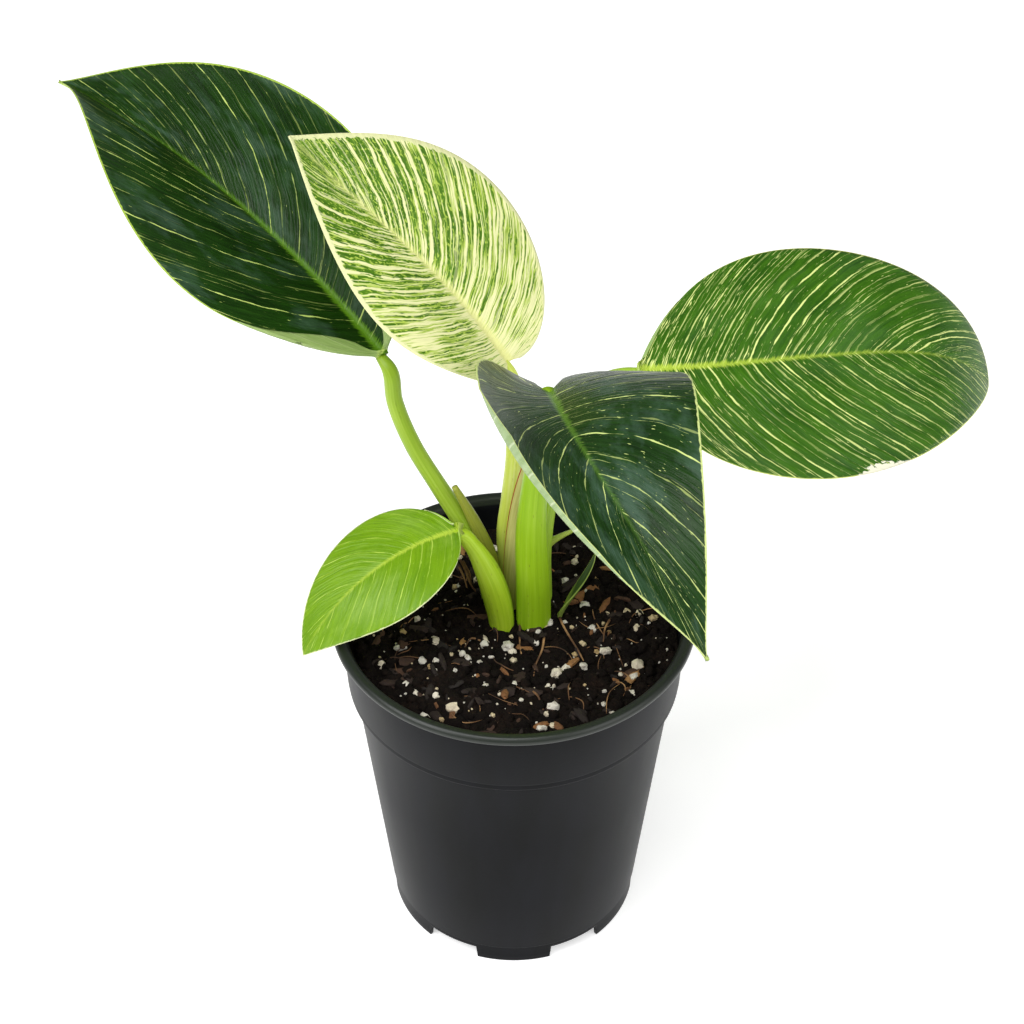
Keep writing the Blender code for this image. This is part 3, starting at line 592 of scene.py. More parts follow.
def makeFibres(draw, material):
    # fibres bent by a draw, and the roots and the dried leaf base at their places
    shapes = []
    for x, y, _ in soilPlaces(soil["fibres"], 34):
        heading, bend = draw.uniform(0, 2 * np.pi), draw.uniform(-1.3, 1.3)
        length, lift = draw.uniform(*soil["fibreLength"]), draw.uniform(*soil["fibreLift"])
        s = np.linspace(-0.5, 0.5, 5)
        px = x + length * s * np.cos(heading + bend * s)
        py = y + length * s * np.sin(heading + bend * s)
        pz = soilHeight(px, py) + 0.2 + lift * (0.25 - s ** 2) * 3
        radius = draw.uniform(*soil["fibreRadius"])
        knots = [((a, b, c), radius * w) for a, b, c, w in zip(px, py, pz, (0.5, 0.9, 1, 0.8, 0.4))]
        shapes.append(tubePoints(knots, 14, 5, upHint=(0.1, 0.2, 1.0)))
    for root in soil["roots"]:
        places = np.array(root)
        ground = soilHeight(places[:, 0], places[:, 1])
        radii = np.linspace(*soil["rootRadius"], len(root))
        knots = [((a, b, c + g), r) for (a, b, c), g, r in zip(root, ground, radii)]
        shapes.append(tubePoints(knots, 20, 6, upHint=(0.7, 0.1, 0.3)))
    points, faces, uv = joinShapes(shapes)
    makePiece("soil_fibres", points, faces, uv, [material], ["potting_soil"])


def dampPeat():
    # milled peat, damp: almost black, dull, with brown lights where crumbs have dried
    material, tree = newMaterial("damp_peat", 0.9, 1.4, 0.2)
    place = addNode(tree, "TexCoord", out="Object")
    clods = addNode(tree, "TexNoise",
                    {"Vector": place, "Scale": 1 / (6.25 * mm), "Detail": 4.0, "Roughness": 0.65})
    grit = addNode(tree, "TexNoise",
                   {"Vector": place, "Scale": 1 / (0.77 * mm), "Detail": 3.0, "Roughness": 0.7})
    shade = addNode(tree, "Mix", {0: 0.45, 2: clods, 3: grit})
    colour = addNode(tree, "ValToRGB", (shade,), stops=tuple(zip((0.3, 0.5, 0.62, 0.78), soil["peat"])))
    return finishSurface(material, {"Base Color": colour}, grit, 0.9, 0.6)


def expandedPerlite():
    # perlite, popped volcanic glass: chalky white grains, some stained by the peat
    material, tree = newMaterial("expanded_perlite", 0.85, 1.5)
    place = addNode(tree, "TexCoord", out="Object")
    tone = addNode(tree, "Attribute", out="Fac", attribute_name="tone")
    stain = addNode(tree, "TexNoise",
                    {"Vector": place, "Scale": 1 / (1.43 * mm), "Detail": 3.0, "Roughness": 0.7})
    stained = addNode(tree, "ValToRGB", (stain,), stops=((0.5, 0.0), (0.72, 0.75)))
    chalk = addNode(tree, "ValToRGB", (tone,),
                    stops=((0.0, "#a98d5e"), (0.22, "#cbb993"), (0.6, "#ddd6c8"), (1.0, "#c6c1b6")))
    pits = addNode(tree, "TexNoise", {"Vector": place, "Scale": 1 / (0.417 * mm)})
    colour = paintLayers(tree, chalk, (stained, "#7d6a52"))
    return finishSurface(material, {"Base Color": colour}, pits, 0.6, 0.4)


def compostedBark():
    # pine bark chips, composted: dark brown with paler torn fibres along them
    material, tree = newMaterial("composted_bark", 0.8, 1.45)
    place = addNode(tree, "TexCoord", out="Object")
    tone = addNode(tree, "Attribute", out="Fac", attribute_name="tone")
    grain = addNode(tree, "TexNoise",
                    {"Vector": place, "Scale": 1 / (1.11 * mm), "Detail": 4.0, "Roughness": 0.7})
    torn = addNode(tree, "ValToRGB", (grain,), stops=((0.4, 0.0), (0.75, 0.6)))
    body = addNode(tree, "ValToRGB", (tone,), stops=((0.0, "#140c08"), (0.5, "#251711"), (0.78, "#4a3020"),
                                                     (0.93, "#8a5c33"), (1.0, "#a67a4a")))
    colour = paintLayers(tree, body, (torn, "#1a120d"))
    return finishSurface(material, {"Base Color": colour}, grain, 0.7, 0.4)


def coirFibre():
    # dry root and coir fibres: tan, dull
    material, tree = newMaterial("coir_fibre", 0.75, 1.45)
    place = addNode(tree, "TexCoord", out="Object")
    tint = addNode(tree, "TexNoise", {"Vector": place, "Scale": 1 / (8.33 * mm)})
    tan = addNode(tree, "ValToRGB", (tint,), stops=((0.35, "#3f2a1a"), (0.5, "#6e4d30"), (0.65, "#a98257")))
    return finishSurface(material, {"Base Color": tan})


print("soil")
peatMaterial = dampPeat()
makeSoil(peatMaterial)
grainDraw = np.random.default_rng(5)   # one run of draws for all that lies loose, in this order
makeCrumbs(grainDraw, peatMaterial)
makePerlite(grainDraw, expandedPerlite())
makeBark(grainDraw, compostedBark())
makeFibres(grainDraw, coirFibre())


# leaves

# flat blade: outline and vein fan; u runs round the margin from the notch to the tip, v from midrib to margin
bladeForm = {
    "veinFan": 0.16, "veinSweep": 1.67, "lobePlace": 0.10, "veinBow": (0.30, 0.62), "firstRow": 0.03,
    "rows": 110, "halfColumns": 26, "thickness": 0.55, "edgeThickness": 0.28, "rib": 2.9, "ribHalfWidth": 1.5,
    "groove": 0.35, "grooveHalfWidth": 1.1, "pleat": 0.16, "veinSpacing": 6.5, "spreadPlace": 0.6,
}

# Angles in degrees: heading, rise and roll change along the midrib, fold and curl are for the left and the
# right half, each at base and tip. edgeRoll: how far the right margin rolls up, the place across the leaf
# where the roll starts, how much the strip beyond it is widened, and the shares of the length between which
# it holds.
leaves = {
    "back": {
        "base": (-37.2, 29.6, 186.1), "length": 151.6, "half": (44.5, 43.1), "lobe": -0.07, "tip": 1.36,
        "heading": (133, 4), "rise": (26, -33, 4.5), "roll": (-17, 2),
        "fold": ((29, 62), (33, 40)), "curl": ((5, -57), (31, 38)),
    },
    "centre": {
        "base": (-1.6, 25.6, 186.6), "length": 91.2, "half": (34.0, 35.0), "lobe": 0.03, "tip": 1.04,
        "heading": (150, 43), "rise": (51.5, -25, 29), "roll": (-1, -37),
        "fold": ((24, 12), (10, 23)), "curl": ((1.5, -34), (-16, -1.5)),
    },
    "right": {
        "base": (36.4, 39.8, 173.7), "length": 130.0, "half": (36.7, 37.9), "lobe": -0.02, "tip": 0.68,
        "heading": (-7.4, 50), "rise": (6.5, 0.4, -64), "roll": (16, 34),
        "fold": ((2, 13), (6.4, 2.6)), "curl": ((-1, -52), (-17, -16)),
    },
    "front": {
        "base": (9.8, 1.1, 195.2), "length": 106.6, "half": (34.5, 25.5), "lobe": 0.18, "tip": 1.51,
        "heading": (-85, 39), "rise": (25.6, -59, -18.4), "roll": (6.4, 7),
        "fold": ((21, 24), (11, 18)), "curl": ((-49, 30), (55.5, 14)),
        "edgeRoll": (135, 0.93, 4.6, 0.20, 0.93),
    },
    "small": {
        "base": (-16.2, 6.2, 140.6), "length": 61.0, "half": (19.3, 17.5), "lobe": -0.02, "tip": 0.93,
        "heading": (-155.4, 8.4), "rise": (4, -63, -2), "roll": (-1, -13.5),
        "fold": ((10, -12), (4.5, 2)), "curl": ((-7, -19), (-10, -19.5)),
    },
}


def marginShare(t, tip):
    # half width of the flat blade as a share of its widest: sin(pi t) cos(pi t / 2)^tip over its own maximum
    widest = 2 * math.atan(1 / math.sqrt(1 + tip))
    most = math.sin(widest) * math.cos(widest / 2) ** tip
    return np.sin(np.pi * t) * np.maximum(np.cos(np.pi * t / 2), 0) ** tip / most


def flatBlade(t, q, half, leaf):
    # margin: x = length (1 - cos pi t) / 2 less the lobe, y = half width times the margin's share; each vein
    # is a bowed line from its start on the midrib to the margin, and q runs along it
    length, place, fan = leaf["length"], bladeForm["lobePlace"], bladeForm["veinFan"]
    bowX, bowY = bladeForm["veinBow"]
    lobe = leaf["lobe"] * length * (t / place) * np.exp(1 - t / place)
    edgeX = length * (1 - np.cos(np.pi * t)) / 2 - lobe
    edgeY = half * marginShare(t, leaf["tip"])
    start = length * np.maximum(0, (t - fan) / (1 - fan)) ** bladeForm["veinSweep"]
    x = (1 - q) ** 2 * start + 2 * q * (1 - q) * (start + bowX * (edgeX - start)) + q ** 2 * edgeX
    y = 2 * q * (1 - q) * bowY * edgeY + q ** 2 * edgeY
    return x, y


def bendBlade(x, y, side, half, leaf):
    # the flat place carried onto the arched midrib, then folded and curled about it
    length = leaf["length"]
    along = np.linspace(-0.3, 1.02, 400)
    heading = np.radians(leaf["heading"][0] + leaf["heading"][1] * along)
    rise = np.radians(leaf["rise"][0] + leaf["rise"][1] * along + leaf["rise"][2] * along * abs(along))
    roll = np.radians(leaf["roll"][0] + leaf["roll"][1] * along)[:, None]
    forward = np.stack([np.cos(rise) * np.cos(heading), np.cos(rise) * np.sin(heading), np.sin(rise)], -1)
    across = np.stack([-np.sin(heading), np.cos(heading), 0 * heading], -1)
    upward = np.cross(forward, across)
    cosine, sine = np.cos(roll), np.sin(roll)
    across, upward = across * cosine + upward * sine, upward * cosine - across * sine
    step = length * (along[1] - along[0])
    midrib = np.cumsum((forward + np.roll(forward, 1, 0)) / 2 * step, 0)

    def read(rows):
        return np.stack([np.interp(x / length, along, rows[:, k]) for k in range(3)], -1)

    def arcAt(distance):
        # how far out from the midrib and how high over it a point lies on the arc of this half of the blade
        angle = fold + curl * distance / half
        return half / curl * (np.sin(angle) - np.sin(fold)), half / curl * (np.cos(fold) - np.cos(angle))

    start = np.array([np.interp(0, along, midrib[:, k]) for k in range(3)])
    share = np.clip(x / length, -0.2, 1)
    fold, curl = (np.radians(pair[0] * (1 - share) + pair[1] * share)
                  for pair in (leaf[key][0 if side > 0 else 1] for key in ("fold", "curl")))
    curl = np.where(np.abs(curl) < 0.001, 0.001, curl)
    out, up = arcAt(y)
    if "edgeRoll" in leaf and side < 0:
        # beyond the start the strip turns on a circle, so each point moves by the chord of its arc
        turn, place, widen, first, last = leaf["edgeRoll"]
        hold = np.clip((share - first) * 5, 0, 1) * np.clip((last - share) * 4, 0, 1)
        rowT = np.arccos(np.clip(1 - 2 * share, -1, 1)) / np.pi
        width = half * np.maximum(marginShare(rowT, leaf["tip"]), 0.02)
        startY = place * width
        wider = 1 + (widen - 1) * hold
        strip = np.maximum(0, y - startY) * wider
        arc = np.radians(turn) * hold * np.clip(strip / ((1 - place) * width * wider), 0, 1)
        chord = strip * np.sinc(arc / 2 / np.pi)
        slope = fold + curl * startY / half + arc / 2
        startOut, startUp = arcAt(startY)
        rolled = (y > startY) & (hold > 0)
        out = np.where(rolled, startOut + chord * np.cos(slope), out)
        up = np.where(rolled, startUp + chord * np.sin(slope), up)
    place = read(midrib) - start + np.array(leaf["base"])
    return place + side * out[..., None] * read(across) + up[..., None] * read(upward)


def bladeAxes(leaf):
    # the blade's forward and upward directions at its base
    heading, rise = math.radians(leaf["heading"][0]), math.radians(leaf["rise"][0])
    level = math.cos(rise)
    forward = np.array([level * math.cos(heading), level * math.sin(heading), math.sin(rise)])
    return forward, np.cross(forward, np.array([-math.sin(heading), math.cos(heading), 0.0]))


def bladeGrid(leaf, form):
    # rows from base to tip at t, columns from one margin over the midrib to the other, where the sign of q
    # gives the side: the bent points and the flat places they come from
    even = np.linspace(0, 1, form["rows"])
    t = form["firstRow"] + (1 - form["firstRow"]) * (0.5 * even + 0.25 * (1 - np.cos(np.pi * even)))
    q = np.linspace(0, 1, form["halfColumns"] + 1) ** 1.15
    if "edgeRoll" in leaf:
        q = np.union1d(q, np.linspace(0.88, 1, 14))   # more columns where the margin rolls up
    signed = np.concatenate([q[::-1], -q[1:]])
    points = np.zeros((len(t), len(signed), 3))
    flat = np.zeros((len(t), len(signed), 2))
    for side, half in zip((1, -1), leaf["half"]):
        pick = side * signed >= 0
        gridT, gridQ = np.meshgrid(t, np.abs(signed[pick]), indexing="ij")
        x, y = flatBlade(gridT, gridQ, half, leaf)
        points[:, pick] = bendBlade(x, y, side, half, leaf)
        flat[:, pick] = np.stack([x, side * y], -1)
    return t, signed, points, flat


def gridNormals(points, up):
    # unit normals of a grid of points in mm, on the side of the up direction
    rows, columns = points.shape[:2]
    joined, joinedFaces, _, _, index = weld(points.reshape(-1, 3) * mm, gridFaces(rows, columns))
    normal = pointNormals(joined, joinedFaces)[index].reshape(points.shape)
    return -normal if (normal.reshape(-1, 3) * up).sum() < 0 else normal


def makeBlade(name, leaf, materials, replaced, form):
    # the grid thickened downwards: pleats between the side veins, a groove over the midrib and a rib under it
    t, signed, points, flat = bladeGrid(leaf, form)
    rows, columns = len(t), len(signed)
    # distance from vein to vein, measured part of the way out, where the veins of the fan have spread
    spread = [np.argmin(abs(signed - side * form["spreadPlace"])) for side in (1, -1)]
    steps = np.mean([np.linalg.norm(np.diff(flat[:, k], axis=0), axis=1) for k in spread], 0)
    across = np.concatenate([[0], np.cumsum(steps)])
    ribGap = np.abs(flat[..., 1])
    edge = np.where(signed[None, :, None] >= 0, flat[:, :1], flat[:, -1:])
    edgeGap = np.linalg.norm(flat - edge, axis=-1)

    normal = gridNormals(points, bladeAxes(leaf)[1])
    toTip = 1 - t[:, None]
    outwards = np.abs(signed)[None, :]
    pleat = form["pleat"] * (np.abs(np.sin(np.pi * across[:, None] / form["veinSpacing"])) - 0.6)
    pleat = pleat * np.sqrt(outwards) * np.clip((1 - outwards) * 5, 0, 1) * np.clip(toTip * 8, 0, 1)
    groove = form["groove"] * np.exp(-(ribGap / form["grooveHalfWidth"]) ** 2) * toTip
    rib = form["rib"] * (1 - 0.8 * t[:, None])
    ribHalf = form["ribHalfWidth"] * (1.25 - 0.8 * t[:, None])
    thin = form["edgeThickness"] + (form["thickness"] - form["edgeThickness"]) * np.clip(edgeGap / 4, 0, 1)
    deep = thin + np.maximum(0, rib - thin) * np.exp(-(ribGap / ribHalf) ** 2)
    upper = points + normal * (pleat - groove)[..., None]
    lower = points + normal * (pleat * 0.8 - deep)[..., None]

    # upper faces, lower faces turned over, and a rim that joins them round the margin
    faces, count = gridFaces(rows, columns), rows * columns
    grid = np.arange(count).reshape(rows, columns)
    loop = np.concatenate([grid[:, 0][::-1], grid[0, 1:], grid[1:, -1]])
    a, b = loop[:-1], loop[1:]
    rim = np.concatenate([np.stack([a, b, b + count], 1), np.stack([a, b + count, a + count], 1)])
    allPoints = np.concatenate([upper.reshape(-1, 3), lower.reshape(-1, 3)]) * mm
    allFaces = np.concatenate([faces, faces[:, ::-1] + count, rim])
    facing = np.concatenate([np.zeros(len(faces)), np.ones(len(faces)), np.zeros(len(rim))])
    uv = np.stack(np.broadcast_arrays((across / uvMm)[:, None], (signed * 0.5 + 0.5)[None, :]), -1)
    values = {
        "ribGap": np.tile(ribGap.ravel(), 2),
        "edgeGap": np.tile(edgeGap.ravel(), 2),
        "tipShare": np.tile(np.repeat(t, columns), 2),
    }
    makePiece(name, allPoints, allFaces, np.tile(uv.reshape(-1, 2), (2, 1)), materials, replaced,
              faceMaterial=facing, values=values)


# sizes in mm of what the skin of every leaf shows
leafSkin = {
    "wander": 2.4, "wanderLength": 9.1, "cell": 0.45, "patch": 16.0, "paintedSheen": 20.0, "ridge": (1.3, 15.0),
    "swell": 7.0, "fray": 0.7, "ragged": 1.11, "ribGlow": 7.0, "bareColour": "#f3f1d8", "dryTip": "#5f4422",
}

# Colours of each upper face, and its lines along the side veins. Main and minor lines: distance between them
# and width in mm, and the share of them that is pale. Breaks: how readily those lines break. Fleck: width and
# length in mm, and share. Stripes: share covered, width and length in mm. Halo: the green beside the cream.
# The haze colour and its share are a painted sheen of light on the wax, laid into the colour.
leafLooks = {
    "back": {
        "greens": ("#0b2204", "#22480e"), "paintedSheen": "#53705c", "paintedSheenShare": 0.42,
        "pale": "#c8dc78", "midrib": "#69991f", "ribWidth": 2.7, "ribFade": 0.8, "gloss": 0.2,
        "main": (8.6, 0.6, 0.8), "minor": (2.9, 0.24, 0.2), "fleck": (0.5, 2.2, 0.24),
        "breaks": (0.36, 0.44), "margin": 0.75, "marginColour": "#a6c24c", "roughness": 0.32, "seed": 1.0,
    },
    "centre": {
        "greens": ("#2c5c04", "#62921c"), "paintedSheen": "#93b368", "paintedSheenShare": 0.0,
        "pale": "#f7f7b8", "midrib": "#eef09a", "ribWidth": 3.0, "ribFade": 0.6, "gloss": 0.25,
        "halo": "#b4cf52", "tipFade": 0.75,
        "main": (4.4, 0.9, 1.0), "minor": (1.5, 0.42, 0.6), "fleck": (0.6, 1.4, 0.55),
        "breaks": (0.28, 0.40), "stripes": (0.45, 0.8, 17.0), "margin": 1.8, "marginColour": "#e6e9ae",
        "roughness": 0.38, "seed": 2.0,
    },
    "right": {
        "greens": ("#1f4a03", "#437510"), "paintedSheen": "#6f9460", "paintedSheenShare": 0.08,
        "pale": "#dfea90", "midrib": "#bfd84a", "ribWidth": 2.0, "ribFade": 0.75, "gloss": 0.22,
        "main": (5.0, 0.62, 0.95), "minor": (1.7, 0.28, 0.55), "fleck": (0.5, 1.7, 0.28),
        "breaks": (0.33, 0.40), "stripes": (0.04, 0.9, 7.0), "margin": 0.6, "marginColour": "#d3df7c",
        "roughness": 0.33, "seed": 3.0,
        "whitePatch": (0.512, 0.055, 4.2),   # place along the margin, half its extent there, depth in mm
    },
    "front": {
        "greens": ("#0e2708", "#244716"), "paintedSheen": "#5a7766", "paintedSheenShare": 0.42,
        "pale": "#d6e68c", "midrib": "#6b9830", "ribWidth": 2.1, "ribFade": 0.9, "gloss": 0.2,
        "main": (9.5, 0.56, 0.9), "minor": (2.6, 0.22, 0.3), "fleck": (0.45, 1.8, 0.3),
        "breaks": (0.36, 0.44), "margin": 0.65, "marginColour": "#cddb8a", "roughness": 0.31, "seed": 4.0,
    },
    "small": {
        "greens": ("#5d8a04", "#7ba412"), "paintedSheen": "#9fbf58", "paintedSheenShare": 0.35,
        "pale": "#b2ce54", "midrib": "#bcd348", "ribWidth": 1.8, "ribFade": 0.45, "gloss": 0.3,
        "main": (4.6, 0.4, 0.55), "minor": (1.5, 0.2, 0.35), "fleck": (0.5, 1.6, 0.22),
        "breaks": (0.36, 0.42), "margin": 0.5, "marginColour": "#e6edb4", "roughness": 0.36, "seed": 5.0,
    },
}


def veinLines(tree, across, along, seed, breaks, spacing, width, share):
    # each strip of the given spacing draws a place and a strength for one line; a point's distance from that
    # place is compared with half the width, which swells along the line and breaks it where it is below zero
    strip = addNode(tree, "Math", (across, spacing), operation="DIVIDE")
    number = addNode(tree, "Math", (strip,), operation="FLOOR")
    draw = addNode(tree, "TexWhiteNoise", {"Vector": addNode(tree, "CombineXYZ", (number, seed, spacing))},
                   out="Color", noise_dimensions="3D")
    placeDraw, strengthDraw, _ = addNode(tree, "SeparateColor", (draw,), out=None)
    middle = addNode(tree, "Math", (placeDraw, 0.5, 0.25), operation="MULTIPLY_ADD")
    inStrip = addNode(tree, "Math", (strip,), operation="FRACT")
    off = addNode(tree, "Math", (addNode(tree, "Math", (inStrip, middle), operation="SUBTRACT"),),
                  operation="ABSOLUTE")
    gap = addNode(tree, "Math", (off, spacing), operation="MULTIPLY")
    swell = streaks(tree, number, along, seed, 1.0, leafSkin["swell"], 3.0, 0.6)
    reach = addNode(tree, "Math", (swell, 3 * width, -3 * width * breaks), operation="MULTIPLY_ADD")
    reach = addNode(tree, "Math", (reach, width * 0.7), operation="MINIMUM")
    line = within(tree, gap, reach, width * 0.25)
    strength = addNode(tree, "Math", (strengthDraw, -1.2, 1.1 * share + 0.35), operation="MULTIPLY_ADD",
                       use_clamp=True)
    return addNode(tree, "Math", (line, strength), operation="MULTIPLY")


def waxyLeafTop(name, leaf, look):
    # leaf skin with a waxy cuticle: gloss over deep green, a pale midrib, and cream where the cells beside
    # the veins hold no green, in broken lines and flecks that follow the veins
    material, tree = newMaterial("waxy_leaf_" + name, look["roughness"], 1.45, look["gloss"])
    u, v, _ = addNode(tree, "SeparateXYZ", (addNode(tree, "TexCoord", out="UV"),), out=None)
    ribGap, edgeGap, tipShare = (addNode(tree, "Attribute", out="Fac", attribute_name=key)
                                 for key in ("ribGap", "edgeGap", "tipShare"))

    # mm along the veins and across them, the second set wandering so that no line is quite straight
    side = addNode(tree, "Math", (v, 0.5), operation="SUBTRACT")
    along = addNode(tree, "Math", (side, 1.15 * sum(leaf["half"])), operation="MULTIPLY")
    even = addNode(tree, "Math", (u, uvMm), operation="MULTIPLY")
    flat = addNode(tree, "CombineXYZ", (even, along, look["seed"]))
    wander = addNode(tree, "TexNoise", {"Vector": flat, "Scale": 1 / leafSkin["wanderLength"]})
    drift = addNode(tree, "Math", (wander, leafSkin["wander"], -leafSkin["wander"] / 2),
                    operation="MULTIPLY_ADD")
    across = addNode(tree, "Math", (even, drift), operation="ADD")
    leftHalf = addNode(tree, "Math", (side, 0.0), operation="GREATER_THAN")   # looking from base to tip
    seed = addNode(tree, "Math", (leftHalf, 3.7, look["seed"] * 11), operation="MULTIPLY_ADD")

    # green: fine cells, ridges along the veins and broad patches, under a painted sheen, a haze of light on
    # the wax
    cells = addNode(tree, "TexNoise", {"Vector": flat, "Scale": 1 / leafSkin["cell"]})
    patch = addNode(tree, "TexNoise",
                    {"Vector": flat, "Scale": 1 / leafSkin["patch"], "Detail": 3.0, "Roughness": 0.6})
    ridges = streaks(tree, across, along, seed, *leafSkin["ridge"], 2.0, 0.6)
    shade = addNode(tree, "Math", (patch, 0.5), operation="MULTIPLY")
    shade = addNode(tree, "Math", (ridges, 0.55, shade), operation="MULTIPLY_ADD")
    shade = addNode(tree, "Math", (cells, 0.2, shade), operation="MULTIPLY_ADD")
    green = addNode(tree, "ValToRGB", (shade,), stops=tuple(zip((0.42, 0.82), look["greens"])))
    # painted sheen: patches of the haze colour stand in for light on the wax
    ownPlace = addNode(tree, "CombineXYZ", (even, along, look["seed"] + 40))
    cloud = addNode(tree, "TexNoise",
                    {"Vector": ownPlace, "Scale": 1 / leafSkin["paintedSheen"], "Detail": 5.0, "Roughness": 0.65})
    paintedSheen = addNode(tree, "Math", (stepUp(tree, cloud, 0.58, 0.16), look["paintedSheenShare"]), operation="MULTIPLY")
    green = paintLayers(tree, green, (paintedSheen, look["paintedSheen"]))

    # cream: main and minor lines, flecks, and on some leaves whole stripes with a lighter green round them
    mainBreaks, minorBreaks = look["breaks"]
    pale = addNode(tree, "Math", (veinLines(tree, across, along, seed, mainBreaks, *look["main"]),
                                  veinLines(tree, across, along, seed, minorBreaks, *look["minor"])),
                   operation="MAXIMUM")
    fleckWide, fleckLong, fleckShare = look["fleck"]
    flecks = streaks(tree, across, along, seed, fleckWide, fleckLong, 1.0)
    flecks = stepUp(tree, flecks, 0.94 - 0.62 * fleckShare, 0.08)
    if "halo" in look:
        green = paintLayers(tree, green, (flecks, look["halo"]))
    else:
        pale = addNode(tree, "Math", (pale, flecks), operation="MAXIMUM")
    if "stripes" in look:
        cover, stripeWide, stripeLong = look["stripes"]
        stripe = streaks(tree, across, along, seed, stripeWide, stripeLong, 2.0, 0.6)
        nearRib = within(tree, ribGap, leafSkin["ribGlow"], leafSkin["ribGlow"])
        level = addNode(tree, "Math", (tipShare, 0.34, 0.57 - 0.38 * cover), operation="MULTIPLY_ADD")
        level = addNode(tree, "Math", (nearRib, -0.09, level), operation="MULTIPLY_ADD")
        pale = addNode(tree, "Math", (pale, stepUp(tree, stripe, level, 0.06)), operation="MAXIMUM")
        if "halo" in look:
            lower = addNode(tree, "Math", (level, 0.075), operation="SUBTRACT")
            green = paintLayers(tree, green, (stepUp(tree, stripe, lower, 0.06), look["halo"]))
    if "tipFade" in look:
        nearTip = stepUp(tree, tipShare, 0.86, 0.16)
        kept = addNode(tree, "Math", (nearTip, -look["tipFade"], 1.0), operation="MULTIPLY_ADD")
        pale = addNode(tree, "Math", (pale, kept), operation="MULTIPLY")

    # midrib with frayed sides, narrowing and fading to the tip
    wide = look["ribWidth"]
    ribWidth = addNode(tree, "Math", (tipShare, -0.8 * wide, wide), operation="MULTIPLY_ADD")
    fray = streaks(tree, across, 0.0, seed, leafSkin["fray"], 1.0, 2.0)
    fray = addNode(tree, "Math", (fray, 2.6, -0.3), operation="MULTIPLY_ADD")
    rib = within(tree, ribGap, addNode(tree, "Math", (ribWidth, fray), operation="MULTIPLY"), 0.9)
    ribLight = addNode(tree, "Math", (tipShare, -look["ribFade"], 1.0), operation="MULTIPLY_ADD")
    rib = addNode(tree, "Math", (rib, ribLight), operation="MULTIPLY")

    # pale margin, the white patch where there is one, and the dry brown tip
    ragged = addNode(tree, "TexNoise", {"Vector": flat, "Scale": 1 / leafSkin["ragged"]})
    margin = addNode(tree, "Math", (ragged, 1.6 * look["margin"], 0.2 * look["margin"]),
                     operation="MULTIPLY_ADD")
    layers = [(pale, look["pale"]), (rib, look["midrib"]),
              (within(tree, edgeGap, margin, 0.3), look["marginColour"])]
    if "whitePatch" in look:
        place, extent, depth = look["whitePatch"]
        off = addNode(tree, "Math", (tipShare, place), operation="SUBTRACT")
        off = addNode(tree, "Math", (off,), operation="ABSOLUTE")
        deep = addNode(tree, "Math", (off, -depth / extent, depth), operation="MULTIPLY_ADD")
        torn = addNode(tree, "Math", (ragged, 2.4, -0.2), operation="MULTIPLY_ADD")
        bare = within(tree, edgeGap, addNode(tree, "Math", (deep, torn), operation="MULTIPLY"), 0.4)
        rightHalf = addNode(tree, "Math", (side, 0.0), operation="LESS_THAN")
        bare = addNode(tree, "Math", (bare, rightHalf), operation="MULTIPLY")
        layers.append((bare, leafSkin["bareColour"]))
    layers.append((stepUp(tree, tipShare, 0.992, 0.006), leafSkin["dryTip"]))

    relief = addNode(tree, "Math", (cells, 0.25), operation="MULTIPLY")
    relief = addNode(tree, "Math", (ridges, 2.2, relief), operation="MULTIPLY_ADD")
    rough = addNode(tree, "Math", (cloud, 0.3, look["roughness"] - 0.12), operation="MULTIPLY_ADD")
    links = {"Base Color": paintLayers(tree, green, *layers), "Roughness": rough}
    return finishSurface(material, links, relief, 0.45, 0.5)


def paleUnderside(name, tints):
    # the under face: matt pale green with lighter veins
    material, tree = newMaterial("leaf_underside_" + name, 0.55, 1.42)
    u, v, _ = addNode(tree, "SeparateXYZ", (addNode(tree, "TexCoord", out="UV"),), out=None)
    ribGap = addNode(tree, "Attribute", out="Fac", attribute_name="ribGap")
    across = addNode(tree, "Math", (u, uvMm), operation="MULTIPLY")
    wave = addNode(tree, "Math", (across, math.pi / bladeForm["veinSpacing"]), operation="MULTIPLY")
    wave = addNode(tree, "Math", (wave,), operation="SINE")
    offVein = addNode(tree, "Math", (wave,), operation="ABSOLUTE")
    vein = within(tree, offVein, 1 / 6, 1 / 6)
    along = addNode(tree, "Math", (v, 12.0), operation="MULTIPLY")
    mottle = addNode(tree, "TexNoise", {"Vector": addNode(tree, "CombineXYZ", (across, along, 1.0)),
                                        "Scale": 1 / 1.25, "Detail": 3.0})
    body = addNode(tree, "ValToRGB", (mottle,), stops=tuple(zip((0.3, 0.7), tints)))
    veinMask = addNode(tree, "Math", (vein, 0.8), operation="MULTIPLY")
    colour = paintLayers(tree, body, (veinMask, tints[2]), (within(tree, ribGap, 2.4, 0.8), tints[3]))
    return finishSurface(material, {"Base Color": colour}, vein, 0.4, 0.4)


print("blades")
# underside: two greens of the mottle, the side veins and the midrib
undersides = {
    "back": ("#8da85c", "#a5bb74", "#c2d296", "#b4ca66"),
    "centre": ("#9fb878", "#b8cc92", "#dbe6bd", "#c6d67c"),
    "right": ("#86a55c", "#a0ba72", "#c9d9a0", "#b7cc68"),
    "front": ("#8ba36c", "#a5b98a", "#cfdab5", "#b6cb70"),
    "small": ("#8fb83a", "#a9cb55", "#d6e592", "#c9dc6a"),
}
for name, leaf in leaves.items():
    faces = [waxyLeafTop(name, leaf, leafLooks[name]), paleUnderside(name, undersides[name])]
    makeBlade("leaf_blade_" + name, leaf, faces, ["blade_" + name], bladeForm)


# petioles

